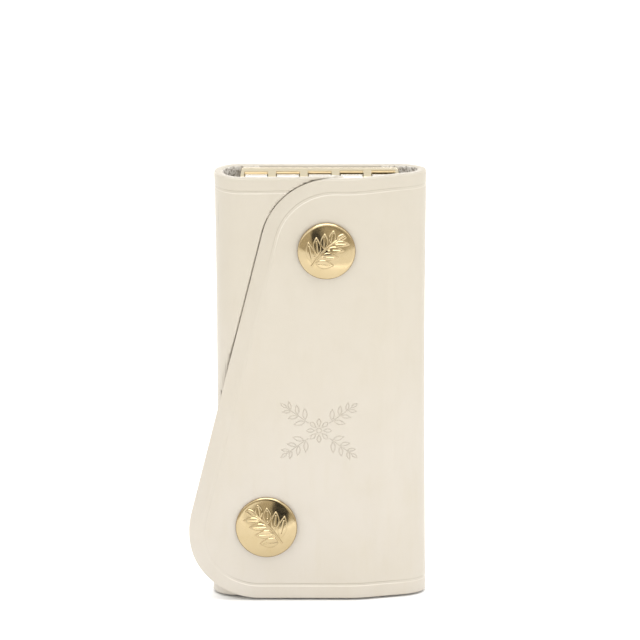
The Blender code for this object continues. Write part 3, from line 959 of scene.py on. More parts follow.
@dataclass(frozen=True)
class Sprig:
    """A leafy sprig in flat axes, its stem rising from the origin's lower end."""

    length: float
    leaf: float
    pairs: int
    lean: float = radians(52)
    stem: float = 0.32 * MM
    edge: float = 0.16 * MM
    turn: float = 0.0
    bow: float = 0.0
    berry: float = 0.0
    line: float = 0.0
    middle: tuple[float, float] = (0.0, 0.0)

    def berries(self) -> list[tuple[float, float]]:
        """The middle of each berry, in the forks between the leaves."""
        rows = [self.length * ((i + 0.95) / self.pairs * 0.86 - 0.5) for i in range(self.pairs - 1)]
        return [(side * 2.6 * self.berry, v) for v in rows for side in (-1, 1)]

    def leaves(self) -> list[tuple[float, float, float, float, float]]:
        """Lays out the leaves in pairs up the stem, with one at its tip.

        Returns:
            Each leaf's foot in both axes, its direction, its length and its half width.
        """
        made = []
        for i in range(self.pairs):
            share = (i + 0.4) / self.pairs
            size = self.leaf * (1.12 - 0.42 * share)
            foot = self.length * (share * 0.86 - 0.5)
            for side in (-1, 1):
                angle = pi / 2 - side * self.lean * (1.08 - 0.3 * share)
                made.append((0.0, foot + side * 0.02 * self.length, angle, size, size * 0.21))
        tip = self.length * 0.33
        made.append((0.0, tip, pi / 2, self.leaf * 0.72, self.leaf * 0.16))
        return made

    def pressed(self, u: np.ndarray, v: np.ndarray) -> np.ndarray:
        """How much the sprig covers each point, veins left free.

        Args:
            u: Places across the sprig.
            v: Places along it.

        Returns:
            One number from 0 to 1 for each point.
        """
        c, s = cos(self.turn), sin(self.turn)
        u, v = u - self.middle[0], v - self.middle[1]
        u, v = u * c + v * s, v * c - u * s
        u = u - self.bow * self.length * np.cos(pi * v / self.length)
        cover = np.zeros_like(u)
        for foot_u, foot_v, angle, size, half in self.leaves():
            along = (u - foot_u) * cos(angle) + (v - foot_v) * sin(angle) - 0.10 * size
            across = (v - foot_v) * cos(angle) - (u - foot_u) * sin(angle)
            share = np.clip(along / size, 0, 1)
            width = half * np.sin(pi * share**0.85)
            room = width - np.abs(across)
            inside = ease(-self.edge / 2, self.edge / 2, room)
            inside *= (along > 0) & (along < size)
            if self.line:
                inside *= ease(self.line + self.edge / 2, self.line - self.edge / 2, room)
            else:
                vein = ease(0.05 * MM, 0.20 * MM, np.abs(across) + 0.25 * MM * (share > 0.8))
                inside *= 0.35 + 0.65 * vein
            cover = np.maximum(cover, inside)
        for berry_u, berry_v in self.berries():
            room = self.berry - np.hypot(u - berry_u, v - berry_v)
            cover = np.maximum(cover, ease(-self.edge / 2, self.edge / 2, room))
        along = (v > -self.length * 0.5) & (v < self.length * 0.38)
        stem = ease(self.edge / 2, -self.edge / 2, np.abs(u) - self.stem / 2)
        return np.maximum(cover, stem * along)


@dataclass(frozen=True)
class Rosette:
    """A round of outlined petals about a small ring, in flat axes."""

    radius: float
    petals: int = 8
    petal_half: float = 0.62 * MM
    hub: float = 0.75 * MM
    line: float = 0.20 * MM
    edge: float = 0.12 * MM

    def pressed(self, u: np.ndarray, v: np.ndarray) -> np.ndarray:
        """How much the rosette covers each point.

        Args:
            u: Places across the rosette.
            v: Places up it.

        Returns:
            One number from 0 to 1 for each point.
        """
        step = 2 * pi / self.petals
        turn = (np.arctan2(v, u) + step / 2) % step - step / 2
        out = np.hypot(u, v)
        start = self.hub + self.line
        share = np.clip((out * np.cos(turn) - start) / (self.radius - start), 0, 1)
        room = self.petal_half * np.sin(pi * share**1.3) - np.abs(out * np.sin(turn))
        petal = ease(-self.edge / 2, self.edge / 2, room)
        petal *= ease(self.line + self.edge / 2, self.line - self.edge / 2, room)
        petal *= (share > 0) & (share < 1)
        ring = self.line / 2 - np.abs(out - self.hub + self.line / 2)
        return np.maximum(petal, ease(-self.edge / 2, self.edge / 2, ring))


# Leather


@dataclass
class LeatherSheet:
    """The case's one sheet of leather: cut flat, creased, drilled, pressed with its mark, then
    folded.

    In the flat, X runs along the grain side from the inner flap's free edge, Z is up,
    the grain side is at Y = 0 and the flesh side is below it. Of a pair whose name ends
    in zone, step, shares, foot or head, a change starts at the first value and is in
    full at the second.
    """

    case: Case
    snaps: Sequence[SnapPlace]
    edge_round: float = 0.38 * MM
    crease_middle: float = 3.85 * MM
    crease_half: float = 0.52 * MM
    crease_floor: float = 0.22 * MM
    crease_depth: float = 0.17 * MM
    free_edge_lean: float = radians(13.8)
    shoulder: float = 20.0 * MM
    tail: float = 19.0 * MM
    inner_foot: float = -5.5 * MM
    inner_head: float = 11.0 * MM
    inner_corner: float = 6.0 * MM
    cell: float = 2.5 * MM
    row: float = 3.0 * MM
    bend_lines: int = 18
    bend_cuts: int = 9
    wave: float = 0.05 * MM
    burnish: float = 1.8 * MM
    post_hole: float = 1.6 * MM
    socket_seat: float = 5.9 * MM
    socket_cover: float = 1.0 * MM
    stud_hole: float = 1.25 * MM
    stud_seat: float = 4.9 * MM
    base_seat: float = 4.4 * MM
    seat_depth: float = 0.8 * MM
    side_zone: tuple[float, float] = (14 * MM, 27 * MM)
    waist: float = 0.85 * MM
    waist_foot: float = 0.45 * MM
    waist_end: float = -12 * MM
    swell: float = 0.15 * MM
    swell_middle: float = 0.3 * MM
    swell_head: float = 0.12 * MM
    skive: float = 1.75 * MM
    skive_reach: float = 5 * MM
    skive_fade: float = 12 * MM
    skive_zone: tuple[float, float] = (12 * MM, 26 * MM)
    bulge: tuple[float, float] = (1.35 * MM, 0.6 * MM)
    bulge_step: tuple[float, float] = (0.2 * MM, -0.6 * MM)
    bulge_end: float = -8 * MM
    bulge_foot: float = 24 * MM
    bulge_shares: tuple[float, float] = (0.25, 0.6)
    draw_back: tuple[float, float] = (3.7 * MM, 5.5 * MM)
    draw_zone: tuple[float, float] = (8 * MM, 24 * MM)
    hook_room: tuple[float, float] = (10 * MM, 3 * MM)
    hook_foot: tuple[float, float] = (8 * MM, 28 * MM)
    hook_head: tuple[float, float] = (113 * MM, 100 * MM)
    foot_lift: float = 0.55 * MM
    foot_zone: float = 14 * MM
    foot_depth: float = -9 * MM
    fold_reach: float = 2.3 * MM
    side_fold_reach: float = 1.6 * MM
    mark: tuple[Sprig | Rosette, ...] = (
        Rosette(radius=3.4 * MM),
        *(
            Sprig(
                length=8.4 * MM,
                leaf=3.0 * MM,
                pairs=3,
                lean=radians(50),
                stem=0.2 * MM,
                turn=-across * radians(90 - 36 * up),
                line=0.20 * MM,
                edge=0.12 * MM,
                middle=(across * 6.2 * MM, up * 4.6 * MM),
            )
            for across in (1, -1)
            for up in (1, -1)
        ),
    )
    mark_middle: tuple[float, float] = (-0.2 * MM, 47.4 * MM)
    mark_half: tuple[float, float] = (12.5 * MM, 9.0 * MM)
    mark_cuts: int = 22
    bulge_cuts: int = 3
    step_lines: tuple[float, ...] = (0.3, 0.0, -0.15, -0.3, -0.45, -0.6, -1.0)
    mark_depth: float = 0.14 * MM
    pieces: list[bpy.types.Object] = field(default_factory=list)

    def __post_init__(self) -> None:
        """Works out where each stretch of the flat sheet starts."""
        case = self.case
        self.left_start = self.inner_head - case.left.x
        self.back_start = self.left_start + pi * case.left_radius
        self.right_start = self.back_start + case.right.x - case.left.x
        self.outer_start = self.right_start + pi * case.right_radius

    def inner_s(self, x: float) -> float:
        """The flat place of a place in X on the inner flap."""
        return self.inner_head - x

    def outer_s(self, x: float) -> float:
        """The flat place of a place in X on the outer flap."""
        return self.outer_start + self.case.right.x - x

    @property
    def tail_x(self) -> float:
        """The middle of the tail's round in X."""
        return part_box("outer_flap")[0].x + self.tail

    @property
    def edge_foot(self) -> float:
        """Where the free edge's slanting line would reach the foot, in X."""
        lean = self.free_edge_lean
        return self.tail_x - self.tail * tan(lean) - self.tail / cos(lean)

    @property
    def shoulder_middle(self) -> tuple[float, float]:
        """The middle of the shoulder's round in X and Z."""
        lean, z = self.free_edge_lean, self.case.height - self.shoulder
        return self.edge_foot + z * tan(lean) + self.shoulder / cos(lean), z

    def free_edge(self, z: np.ndarray) -> np.ndarray:
        """Where the outer flap's free edge lies above its tail.

        Args:
            z: The heights that are asked for.

        Returns:
            The edge's place in X at each height.
        """
        lean, (x, low) = self.free_edge_lean, self.shoulder_middle
        rise = np.clip(z - low, 0, self.shoulder)
        round_edge = x - np.sqrt(self.shoulder**2 - rise**2)
        line = self.edge_foot + z * tan(lean)
        return np.where(z > low + self.shoulder * sin(lean), round_edge, line)

    def outline(self) -> list[tuple[float, float]]:
        """Draws the flat sheet's outline, from the inner flap's low corner.

        Returns:
            Its points in X and Z.
        """
        height = self.case.height
        lean = atan2(self.inner_head - self.inner_foot, height)
        radius = self.inner_corner

        def inner_corner(z: float) -> tuple[float, float]:
            """The middle of an inner flap's corner whose middle is at this height."""
            x = self.inner_foot + z * tan(lean) - radius / cos(lean)
            return self.inner_s(x), z

        edge = self.free_edge_lean
        shoulder_x, shoulder_z = self.shoulder_middle
        low, top = inner_corner(radius), inner_corner(height - radius)
        tail = (self.outer_s(self.tail_x), self.tail)
        shoulder = (self.outer_s(shoulder_x), shoulder_z)
        points = arc(low, radius, -pi / 2, -pi + lean, 12)
        points += arc(top, radius, pi + lean, pi / 2, 12)
        points += arc(shoulder, self.shoulder, pi / 2, edge, 36)
        points += arc(tail, self.tail, edge, -pi / 2, 44)
        return points

    def cut(self) -> bpy.types.Object:
        """Cuts the sheet, rounds its edges and lays the crease's lines round it.

        Returns:
            The flat sheet.
        """
        outline = [(x, -self.edge_round, z) for x, z in self.outline()]
        sheet = Pen("leather_sheet", outline[0]).draw(outline[1:]).fill()
        wall = self.case.thickness - 2 * self.edge_round
        with editing(sheet):
            bpy.ops.mesh.select_all(action="SELECT")
            bpy.ops.mesh.extrude_region_move(TRANSFORM_OT_translate={"value": (0, -wall, 0)})
            bpy.ops.mesh.select_all(action="SELECT")
            bpy.ops.mesh.normals_make_consistent(inside=False)
            slope = self.crease_half - self.crease_floor
            walls = [self.crease_floor + slope * i / 4 for i in (4, 3, 2, 1, 0)]
            half = [self.crease_half + 0.5 * slope, *walls, 0.5 * self.crease_floor]
            offsets = [-gap for gap in half] + [0.0] + half[::-1]
            rings = [self.crease_middle + offset for offset in offsets]
            for side, loops in ((1, rings), (-1, [self.burnish, self.crease_middle])):
                pick(sheet, Kind.FACES, lambda face: face.normal.y * side > 0.9)
                self.inset_edge(loops)
        return sheet

    def inset_edge(self, rings: Sequence[float]) -> None:
        """Rounds the picked face's edge and lays further rings inside it.

        Args:
            rings: How far each ring lies from the outline, rising.
        """
        steps = 4
        radius = self.edge_round
        reached, risen = 0.0, 0.0
        for i in range(1, steps + 1):
            angle = pi / 2 * i / steps
            inward, up = radius * (1 - cos(angle)), radius * sin(angle)
            bpy.ops.mesh.inset(thickness=inward - reached, depth=up - risen)
            reached, risen = inward, up
        for ring in rings:
            bpy.ops.mesh.inset(thickness=ring - reached, depth=0)
            reached = ring

    def grid(self, sheet: bpy.types.Object) -> None:
        """Parts the sheet into rows and columns, fine where it bends.

        Args:
            sheet: The flat sheet.
        """
        inset = self.crease_middle + 2 * self.crease_half
        rows = np.arange(2 * self.row, self.case.height - inset, self.row)
        zone = [self.left_start, self.back_start, self.right_start, self.outer_start]
        end = max(x for x, _ in self.outline())
        columns = list(np.arange(self.cell, zone[0], self.cell))
        columns += list(np.linspace(zone[0], zone[1], self.bend_lines + 1))
        columns += list(np.arange(zone[1] + self.cell, zone[2] - self.cell / 2, self.cell))
        columns += list(np.linspace(zone[2], zone[3], self.bend_lines + 1))
        middle = self.outer_s(self.mark_middle[0])
        first = middle - self.mark_half[0]
        columns += list(np.linspace(zone[3], first, 5)[1:-1])
        columns += list(np.arange(first, end, self.cell))
        low = self.mark_middle[1] - self.mark_half[1]
        rows = rows - rows[0] + (low % self.row) + self.row * (low % self.row < inset)
        rows = [z for z in rows if inset < z < self.case.height - inset]
        with editing(sheet):
            for x in columns:
                bpy.ops.mesh.select_all(action="SELECT")
                bpy.ops.mesh.bisect(plane_co=(x, 0, 0), plane_no=(1, 0, 0))
            for z in rows:
                bpy.ops.mesh.select_all(action="SELECT")
                bpy.ops.mesh.bisect(plane_co=(0, 0, z), plane_no=(0, 0, 1))
            lean = self.free_edge_lean
            for gap in self.step_lines:
                foot = self.inner_s(self.edge_foot + gap * MM)
                bpy.ops.mesh.select_all(action="SELECT")
                bpy.ops.mesh.bisect(plane_co=(foot, 0, 0), plane_no=(cos(lean), 0, sin(lean)))

    def drill(self, sheet: bpy.types.Object) -> None:
        """Drills and counterbores the sheet for the snaps.

        Args:
            sheet: The flat sheet.
        """
        over = 1.0 * MM
        below = -self.case.thickness - over
        base_end = self.seat_depth - self.case.thickness
        for snap in self.snaps:
            outer, inner = self.outer_s(snap.x), self.inner_s(snap.x)
            for name, x, radius, near, far in (
                ("post_hole", outer, self.post_hole, below, over),
                ("socket_seat", outer, self.socket_seat, below, -self.socket_cover),
                ("stud_hole", inner, self.stud_hole, below, over),
                ("stud_seat", inner, self.stud_seat, -self.seat_depth, over),
                ("base_seat", inner, self.base_seat, below, base_end),
            ):
                middle = (x, (near + far) / 2, snap.z)
                tool = add_rod(name, middle, radius, far - near, Turn.TO_FRONT)
                combine(sheet, tool)

    def refine(self, sheet: bpy.types.Object) -> None:
        """Parts the bends finely along their way, and the patch of the pressed mark both ways.

        Args:
            sheet: The flat sheet.
        """
        zones = (
            (self.left_start, self.back_start),
            (self.right_start, self.outer_start),
        )

        def bends(edge: bmesh.types.BMEdge) -> bool:
            """Whether an edge runs round one of the bends."""
            a, b = (vert.co for vert in edge.verts)
            run = abs(a.x - b.x)
            if run < abs(a.z - b.z) + abs(a.y - b.y):
                return False
            near, far = min(a.x, b.x) + 0.01 * MM, max(a.x, b.x) - 0.01 * MM
            return any(low < near and far < high for low, high in zones)

        middle = Vector((self.outer_s(self.mark_middle[0]), 0, self.mark_middle[1]))

        def marked(face: bmesh.types.BMFace) -> bool:
            """Whether a face lies in the patch of the pressed mark."""
            if face.normal.y < 0.9:
                return False
            gap = face.calc_center_median() - middle
            return abs(gap.x) < self.mark_half[0] and abs(gap.z) < self.mark_half[1]

        def bulged(face: bmesh.types.BMFace) -> bool:
            """Whether a face lies on the inner flap where it is moulded forward."""
            place = face.calc_center_median()
            inner = place.x < self.left_start and place.z > self.bulge_foot
            return face.normal.y > 0.9 and inner

        with editing(sheet):
            pick(sheet, Kind.EDGES, bends)
            bpy.ops.mesh.subdivide(number_cuts=self.bend_cuts)
            pick(sheet, Kind.FACES, marked)
            bpy.ops.mesh.subdivide(number_cuts=self.mark_cuts)
            pick(sheet, Kind.FACES, bulged)
            bpy.ops.mesh.subdivide(number_cuts=self.bulge_cuts)

    def edge_distance(self, points: np.ndarray) -> np.ndarray:
        """Measures how far points lie from the sheet's outline.

        Args:
            points: Points of the flat sheet, one to a row.

        Returns:
            One distance for each point.
        """
        outline = np.array(self.outline())
        ends = np.roll(outline, -1, axis=0)
        place = points[:, [0, 2]]
        least = np.full(len(place), 1.0)
        for start, end in zip(outline, ends):
            run = end - start
            length = float(run @ run)
            if length < 1e-12:
                continue
            share = np.clip(((place - start) @ run) / length, 0, 1)
            gap = place - (start + share[:, None] * run)
            least = np.minimum(least, np.hypot(gap[:, 0], gap[:, 1]))
        return least

    def crease_fade(self, points: np.ndarray) -> np.ndarray:
        """Lets the crease fade out down the outer flap's free edge.

        Args:
            points: Points of the flat sheet, one to a row.

        Returns:
            For each point, the share of its full depth that the crease has there.
        """
        flap = ease(self.outer_s(8 * MM), self.outer_s(-6 * MM), points[:, 0])
        z = points[:, 2]
        high = ease(90 * MM, 107 * MM, z)
        low = ease(7.5 * MM, 4.2 * MM, z)
        bend = ease(self.right_start - 2 * MM, self.right_start + 3 * MM, points[:, 0])
        bend *= ease(self.outer_start + 2 * MM, self.outer_start - 3 * MM, points[:, 0])
        return (1 - flap * (1 - np.maximum(high, low)) * 0.92) * (1 - 0.5 * bend)

    def press(self, sheet: bpy.types.Object) -> None:
        """Presses the crease and the mark in, gives the sheet its slight waves, and stores the
        painted shade and painted highlight of the crease's walls along with the mark's own darker
        tone.

        Args:
            sheet: The flat sheet.
        """
        points = points_of(sheet)
        flat = points.copy()
        grain = flat[:, 1] > -0.01 * MM
        gap = self.edge_distance(flat) - self.crease_middle
        groove = ease(self.crease_half, self.crease_floor, np.abs(gap))
        points[:, 1] -= grain * groove * self.crease_fade(flat) * self.crease_depth
        u = self.outer_s(self.mark_middle[0]) - flat[:, 0]
        v = flat[:, 2] - self.mark_middle[1]
        near = grain & (np.abs(u) < self.mark_half[0]) & (np.abs(v) < self.mark_half[1])
        mark = np.zeros(len(flat))
        mark[near] = np.max([motif.pressed(u[near], v[near]) for motif in self.mark], axis=0)
        points[:, 1] -= mark * self.mark_depth
        s, z = flat[:, 0] / MM, flat[:, 2] / MM
        wave = np.sin(s / 9.1 + 0.6) * np.sin(z / 23 + 1.1)
        wave += 0.6 * np.sin(s / 17 - z / 31 + 2.0) + 0.3 * np.sin(z / 11 + s / 37)
        points[:, 1] += wave * self.wave
        move_points(sheet, points)
        # Painted shade: the crease's down-facing wall is darkened as if in shadow. This is the
        # outer wall high on the case and the inner wall low down. The pressed mark keeps its own
        # darker tone.
        tooling_and_painted_shade = sheet.data.attributes.new("tooling_and_painted_shade", "FLOAT", "POINT")
        upper = ease(0.3, 0.7, flat[:, 2] / self.case.height)
        walls = 3 * groove * (1 - groove) * grain * self.crease_fade(flat)
        shaded = np.where(gap < 0, upper, 1 - upper)
        share = np.maximum(0.35 * mark, walls * shaded)
        tooling_and_painted_shade.data.foreach_set("value", share.astype(np.float32))
        # Painted highlight: the crease's up-facing wall is lightened as if lit from above.
        painted_crease_highlight = sheet.data.attributes.new("painted_crease_highlight", "FLOAT", "POINT")
        painted_crease_highlight.data.foreach_set("value", (walls * (1 - shaded)).astype(np.float32))

    def folded(self, s: np.ndarray, depth: np.ndarray | float) -> tuple[np.ndarray, np.ndarray]:
        """The places in X and Y of points of the flat sheet once it is folded.

        Args:
            s: Their places along the sheet.
            depth: Their height over the grain side.

        Returns:
            Their places in X and in Y.
        """
        case = self.case
        left = (s - self.left_start) / case.left_radius
        right = (s - self.right_start) / case.right_radius
        left_angle = 3 * pi / 2 - np.clip(left, 0, pi)
        right_angle = pi / 2 - np.clip(right, 0, pi)
        left_reach, right_reach = case.left_radius + depth, case.right_radius + depth
        stretches = [
            s < self.left_start,
            s < self.back_start,
            s < self.right_start,
            s < self.outer_start,
        ]
        x = np.select(
            stretches,
            [
                self.inner_head - s,
                case.left.x + left_reach * np.cos(left_angle),
                case.left.x + s - self.back_start,
                case.right.x + right_reach * np.cos(right_angle),
            ],
            case.right.x - (s - self.outer_start),
        )
        y = np.select(
            stretches,
            [
                case.inner_y - depth,
                case.left.y + left_reach * np.sin(left_angle),
                case.back_y + depth,
                case.right.y + right_reach * np.sin(right_angle),
            ],
            case.front_y - depth,
        )
        return x, y

    def fold(self, piece: bpy.types.Object) -> None:
        """Folds a flat piece and gives it the sway, the mould and the lift of worn leather.

        Args:
            piece: The flat piece.
        """
        case = self.case
        flat = points_of(piece)
        s, z = flat[:, 0], flat[:, 2]
        x, y = self.folded(s, flat[:, 1])
        share = np.clip(z / case.height, 0, 1)
        start, end = self.side_zone
        x += self.sway_in(share) * ease(-start, -end, x) * (s < self.outer_s(self.waist_end))
        x += self.sway_out(share) * ease(start, end, x)
        middle = self.folded(s, -case.thickness / 2)[1]
        front = (case.back_y - middle) / (case.back_y - case.front_y)
        y += self.skived(flat, x)
        depth = (case.back_y - middle) / (case.back_y - case.inner_y) * (s < self.back_start)
        y -= self.moulded(x, z) * np.clip(depth, 0, 1) ** 2 * ease(*self.bulge_shares, share)
        y += self.drawn_back(x, z) * front
        z = z + self.foot_lift * ease(self.foot_zone, 0, z) * ease(0, self.foot_depth, y)
        move_points(piece, np.column_stack((x, y, z)))

    def sway_in(self, share: np.ndarray) -> np.ndarray:
        """How far the left side leans in at each share of the height."""
        return self.waist * np.sin(pi * share) ** 0.8 - self.waist_foot * (1 - share) ** 10

    def sway_out(self, share: np.ndarray) -> np.ndarray:
        """How far the right side stands out at each share of the height."""
        head = self.swell_head * ease(0.6, 0.9, share)
        return self.swell - self.swell_middle * np.sin(pi * share) + head

    def skived(self, flat: np.ndarray, x: np.ndarray) -> np.ndarray:
        """Thins the outer flap towards its free edge, from the grain side.

        Args:
            flat: The points of the flat piece, one to a row.
            x: Their places in X once it is folded.

        Returns:
            How far each point goes back.
        """
        head = self.shoulder_middle[0]
        thin = ease(self.skive_reach, 0, self.edge_distance(flat))
        thin *= flat[:, 0] > self.outer_start
        thin *= ease(head, head - self.skive_fade, x) * ease(*self.skive_zone, flat[:, 2])
        return self.skive * thin * (1 + flat[:, 1] / self.case.thickness)

    def moulded(self, x: np.ndarray, z: np.ndarray) -> np.ndarray:
        """Moulds the inner flap up beside the outer flap's free edge.

        Args:
            x: Places in X.
            z: Places in Z.

        Returns:
            How far the inner flap comes forward at each place.
        """
        near, far = self.bulge
        start, end = self.bulge_step
        gap = x - self.free_edge(z)
        return near * ease(start, end, gap) + far * ease(end, self.bulge_end, gap)

    def drawn_back(self, x: np.ndarray, z: np.ndarray) -> np.ndarray:
        """Draws the right end back, more at the head, but leaves the fifth hook its room.

        Args:
            x: Places in X.
            z: Places in Z.

        Returns:
            How far the outer flap goes back at each place.
        """
        low, high = self.draw_back
        start, end = self.draw_zone
        start_room, end_room = self.hook_room
        room = ease(*self.hook_head, z) * ease(*self.hook_foot, z)
        drawn = ease(start + start_room * room, end + end_room * room, x)
        return (low + (high - low) * np.clip(z / self.case.height, 0, 1)) * drawn

    def part(self, sheet: bpy.types.Object, name: str, low: float, high: float) -> bpy.types.Object:
        """Takes one stretch of the flat sheet as a closed piece of its own.

        Args:
            sheet: The whole flat sheet.
            name: The piece's name.
            low: Where it starts along the sheet.
            high: Where it ends.

        Returns:
            The piece, still flat.
        """
        piece = copy_of(sheet, name, CENTRE)
        end = max(x for x, _ in self.outline())
        with editing(piece):
            for place, side in ((low, -1), (high, 1)):
                if 0 < place < end:
                    bpy.ops.mesh.select_all(action="SELECT")
                    bpy.ops.mesh.bisect(
                        plane_co=(place, 0, 0),
                        plane_no=(side, 0, 0),
                        use_fill=True,
                        clear_outer=True,
                    )
        return piece

    def dress(self, piece: bpy.types.Object) -> None:
        """Gives a flat piece its grain, suede and edge finishes, face by face.

        Args:
            piece: The flat piece.
        """
        for finish in self.finishes:
            piece.data.materials.append(finish)
        low = -self.case.thickness + 1.5 * self.edge_round
        start, end = self.back_start + 4 * MM, self.right_start - 4 * MM
        rim = self.case.height - self.burnish
        for face in piece.data.polygons:
            place = face.center
            burnished = place.z > rim and start < place.x < end
            if face.normal.y < -0.75 and place.y < low and not burnished:
                face.material_index = 1
            elif abs(face.normal.y) < 0.30 or burnished:
                face.material_index = 2

    def build(self) -> list[bpy.types.Object]:
        """Makes the whole sheet and hands it over as its six pieces.

        Returns:
            The pieces, from the inner flap round to the outer flap.
        """
        self.finishes = [Leather().material(), Suede().material(), LeatherEdge().material()]
        sheet = self.cut()
        self.grid(sheet)
        self.drill(sheet)
        self.refine(sheet)
        self.press(sheet)
        case = self.case
        left_link, right_link = pi / 3 * case.left_radius, pi / 3 * case.right_radius
        ends = (
            0.0,
            self.left_start + left_link,
            self.left_start + 2 * left_link,
            self.back_start - case.left.x,
            self.right_start + right_link,
            self.right_start + 2 * right_link,
            1.0,
        )
        plan = (
            ("inner_flap_leather", "left_fold_3", ("inner_flap",)),
            ("left_bend_leather", "left_fold_2", ("left_bend_front", "left_bend_back")),
            ("back_left_leather", "left_fold_1", ("back_panel",)),
            ("back_right_leather", "flap_open", ("right_bend_back",)),
            ("right_bend_leather", "right_fold_2", ("right_bend_front",)),
            ("outer_flap_leather", "right_fold_3", ("outer_flap",)),
        )
        for (name, joint, nodes), low, high in zip(plan, ends, ends[1:]):
            piece = self.part(sheet, name, low, high)
            self.dress(piece)
            self.fold(piece)
            smooth(piece, radians(30))
            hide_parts(*nodes)
            self.join(piece, joint)
            self.pieces.append(piece)
        bpy.data.objects.remove(sheet)
        return self.pieces

    def join(self, piece: bpy.types.Object, name: str) -> None:
        """Works out the span about one fold line, from the joint's parent to its child, and bakes
        the piece's place into its mesh; no bend is set up.

        Args:
            piece: The folded piece.
            name: The name of the joint at the fold line.
        """
        joint = next(item for item in FRAME["joints"] if item["name"] == name)
        place = Vector(joint["pos_m"])
        on_right = place.x > 0
        middle = self.case.right if on_right else self.case.left
        out = (place.xy - middle).normalized()
        way = Vector((out.y, -out.x, 0)) if on_right else Vector((-out.y, out.x, 0))
        front = (self.case.back_y - place.y) / (self.case.back_y - self.case.front_y)
        drawn = Vector((0, on_right * front * sum(self.draw_back) / 2, 0))
        at_side = on_right and abs(way.y) > abs(way.x)
        reach = self.side_fold_reach if at_side else self.fold_reach
        start, end = place + drawn - way * reach, place + drawn + way * reach
        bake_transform(piece)


# Snaps


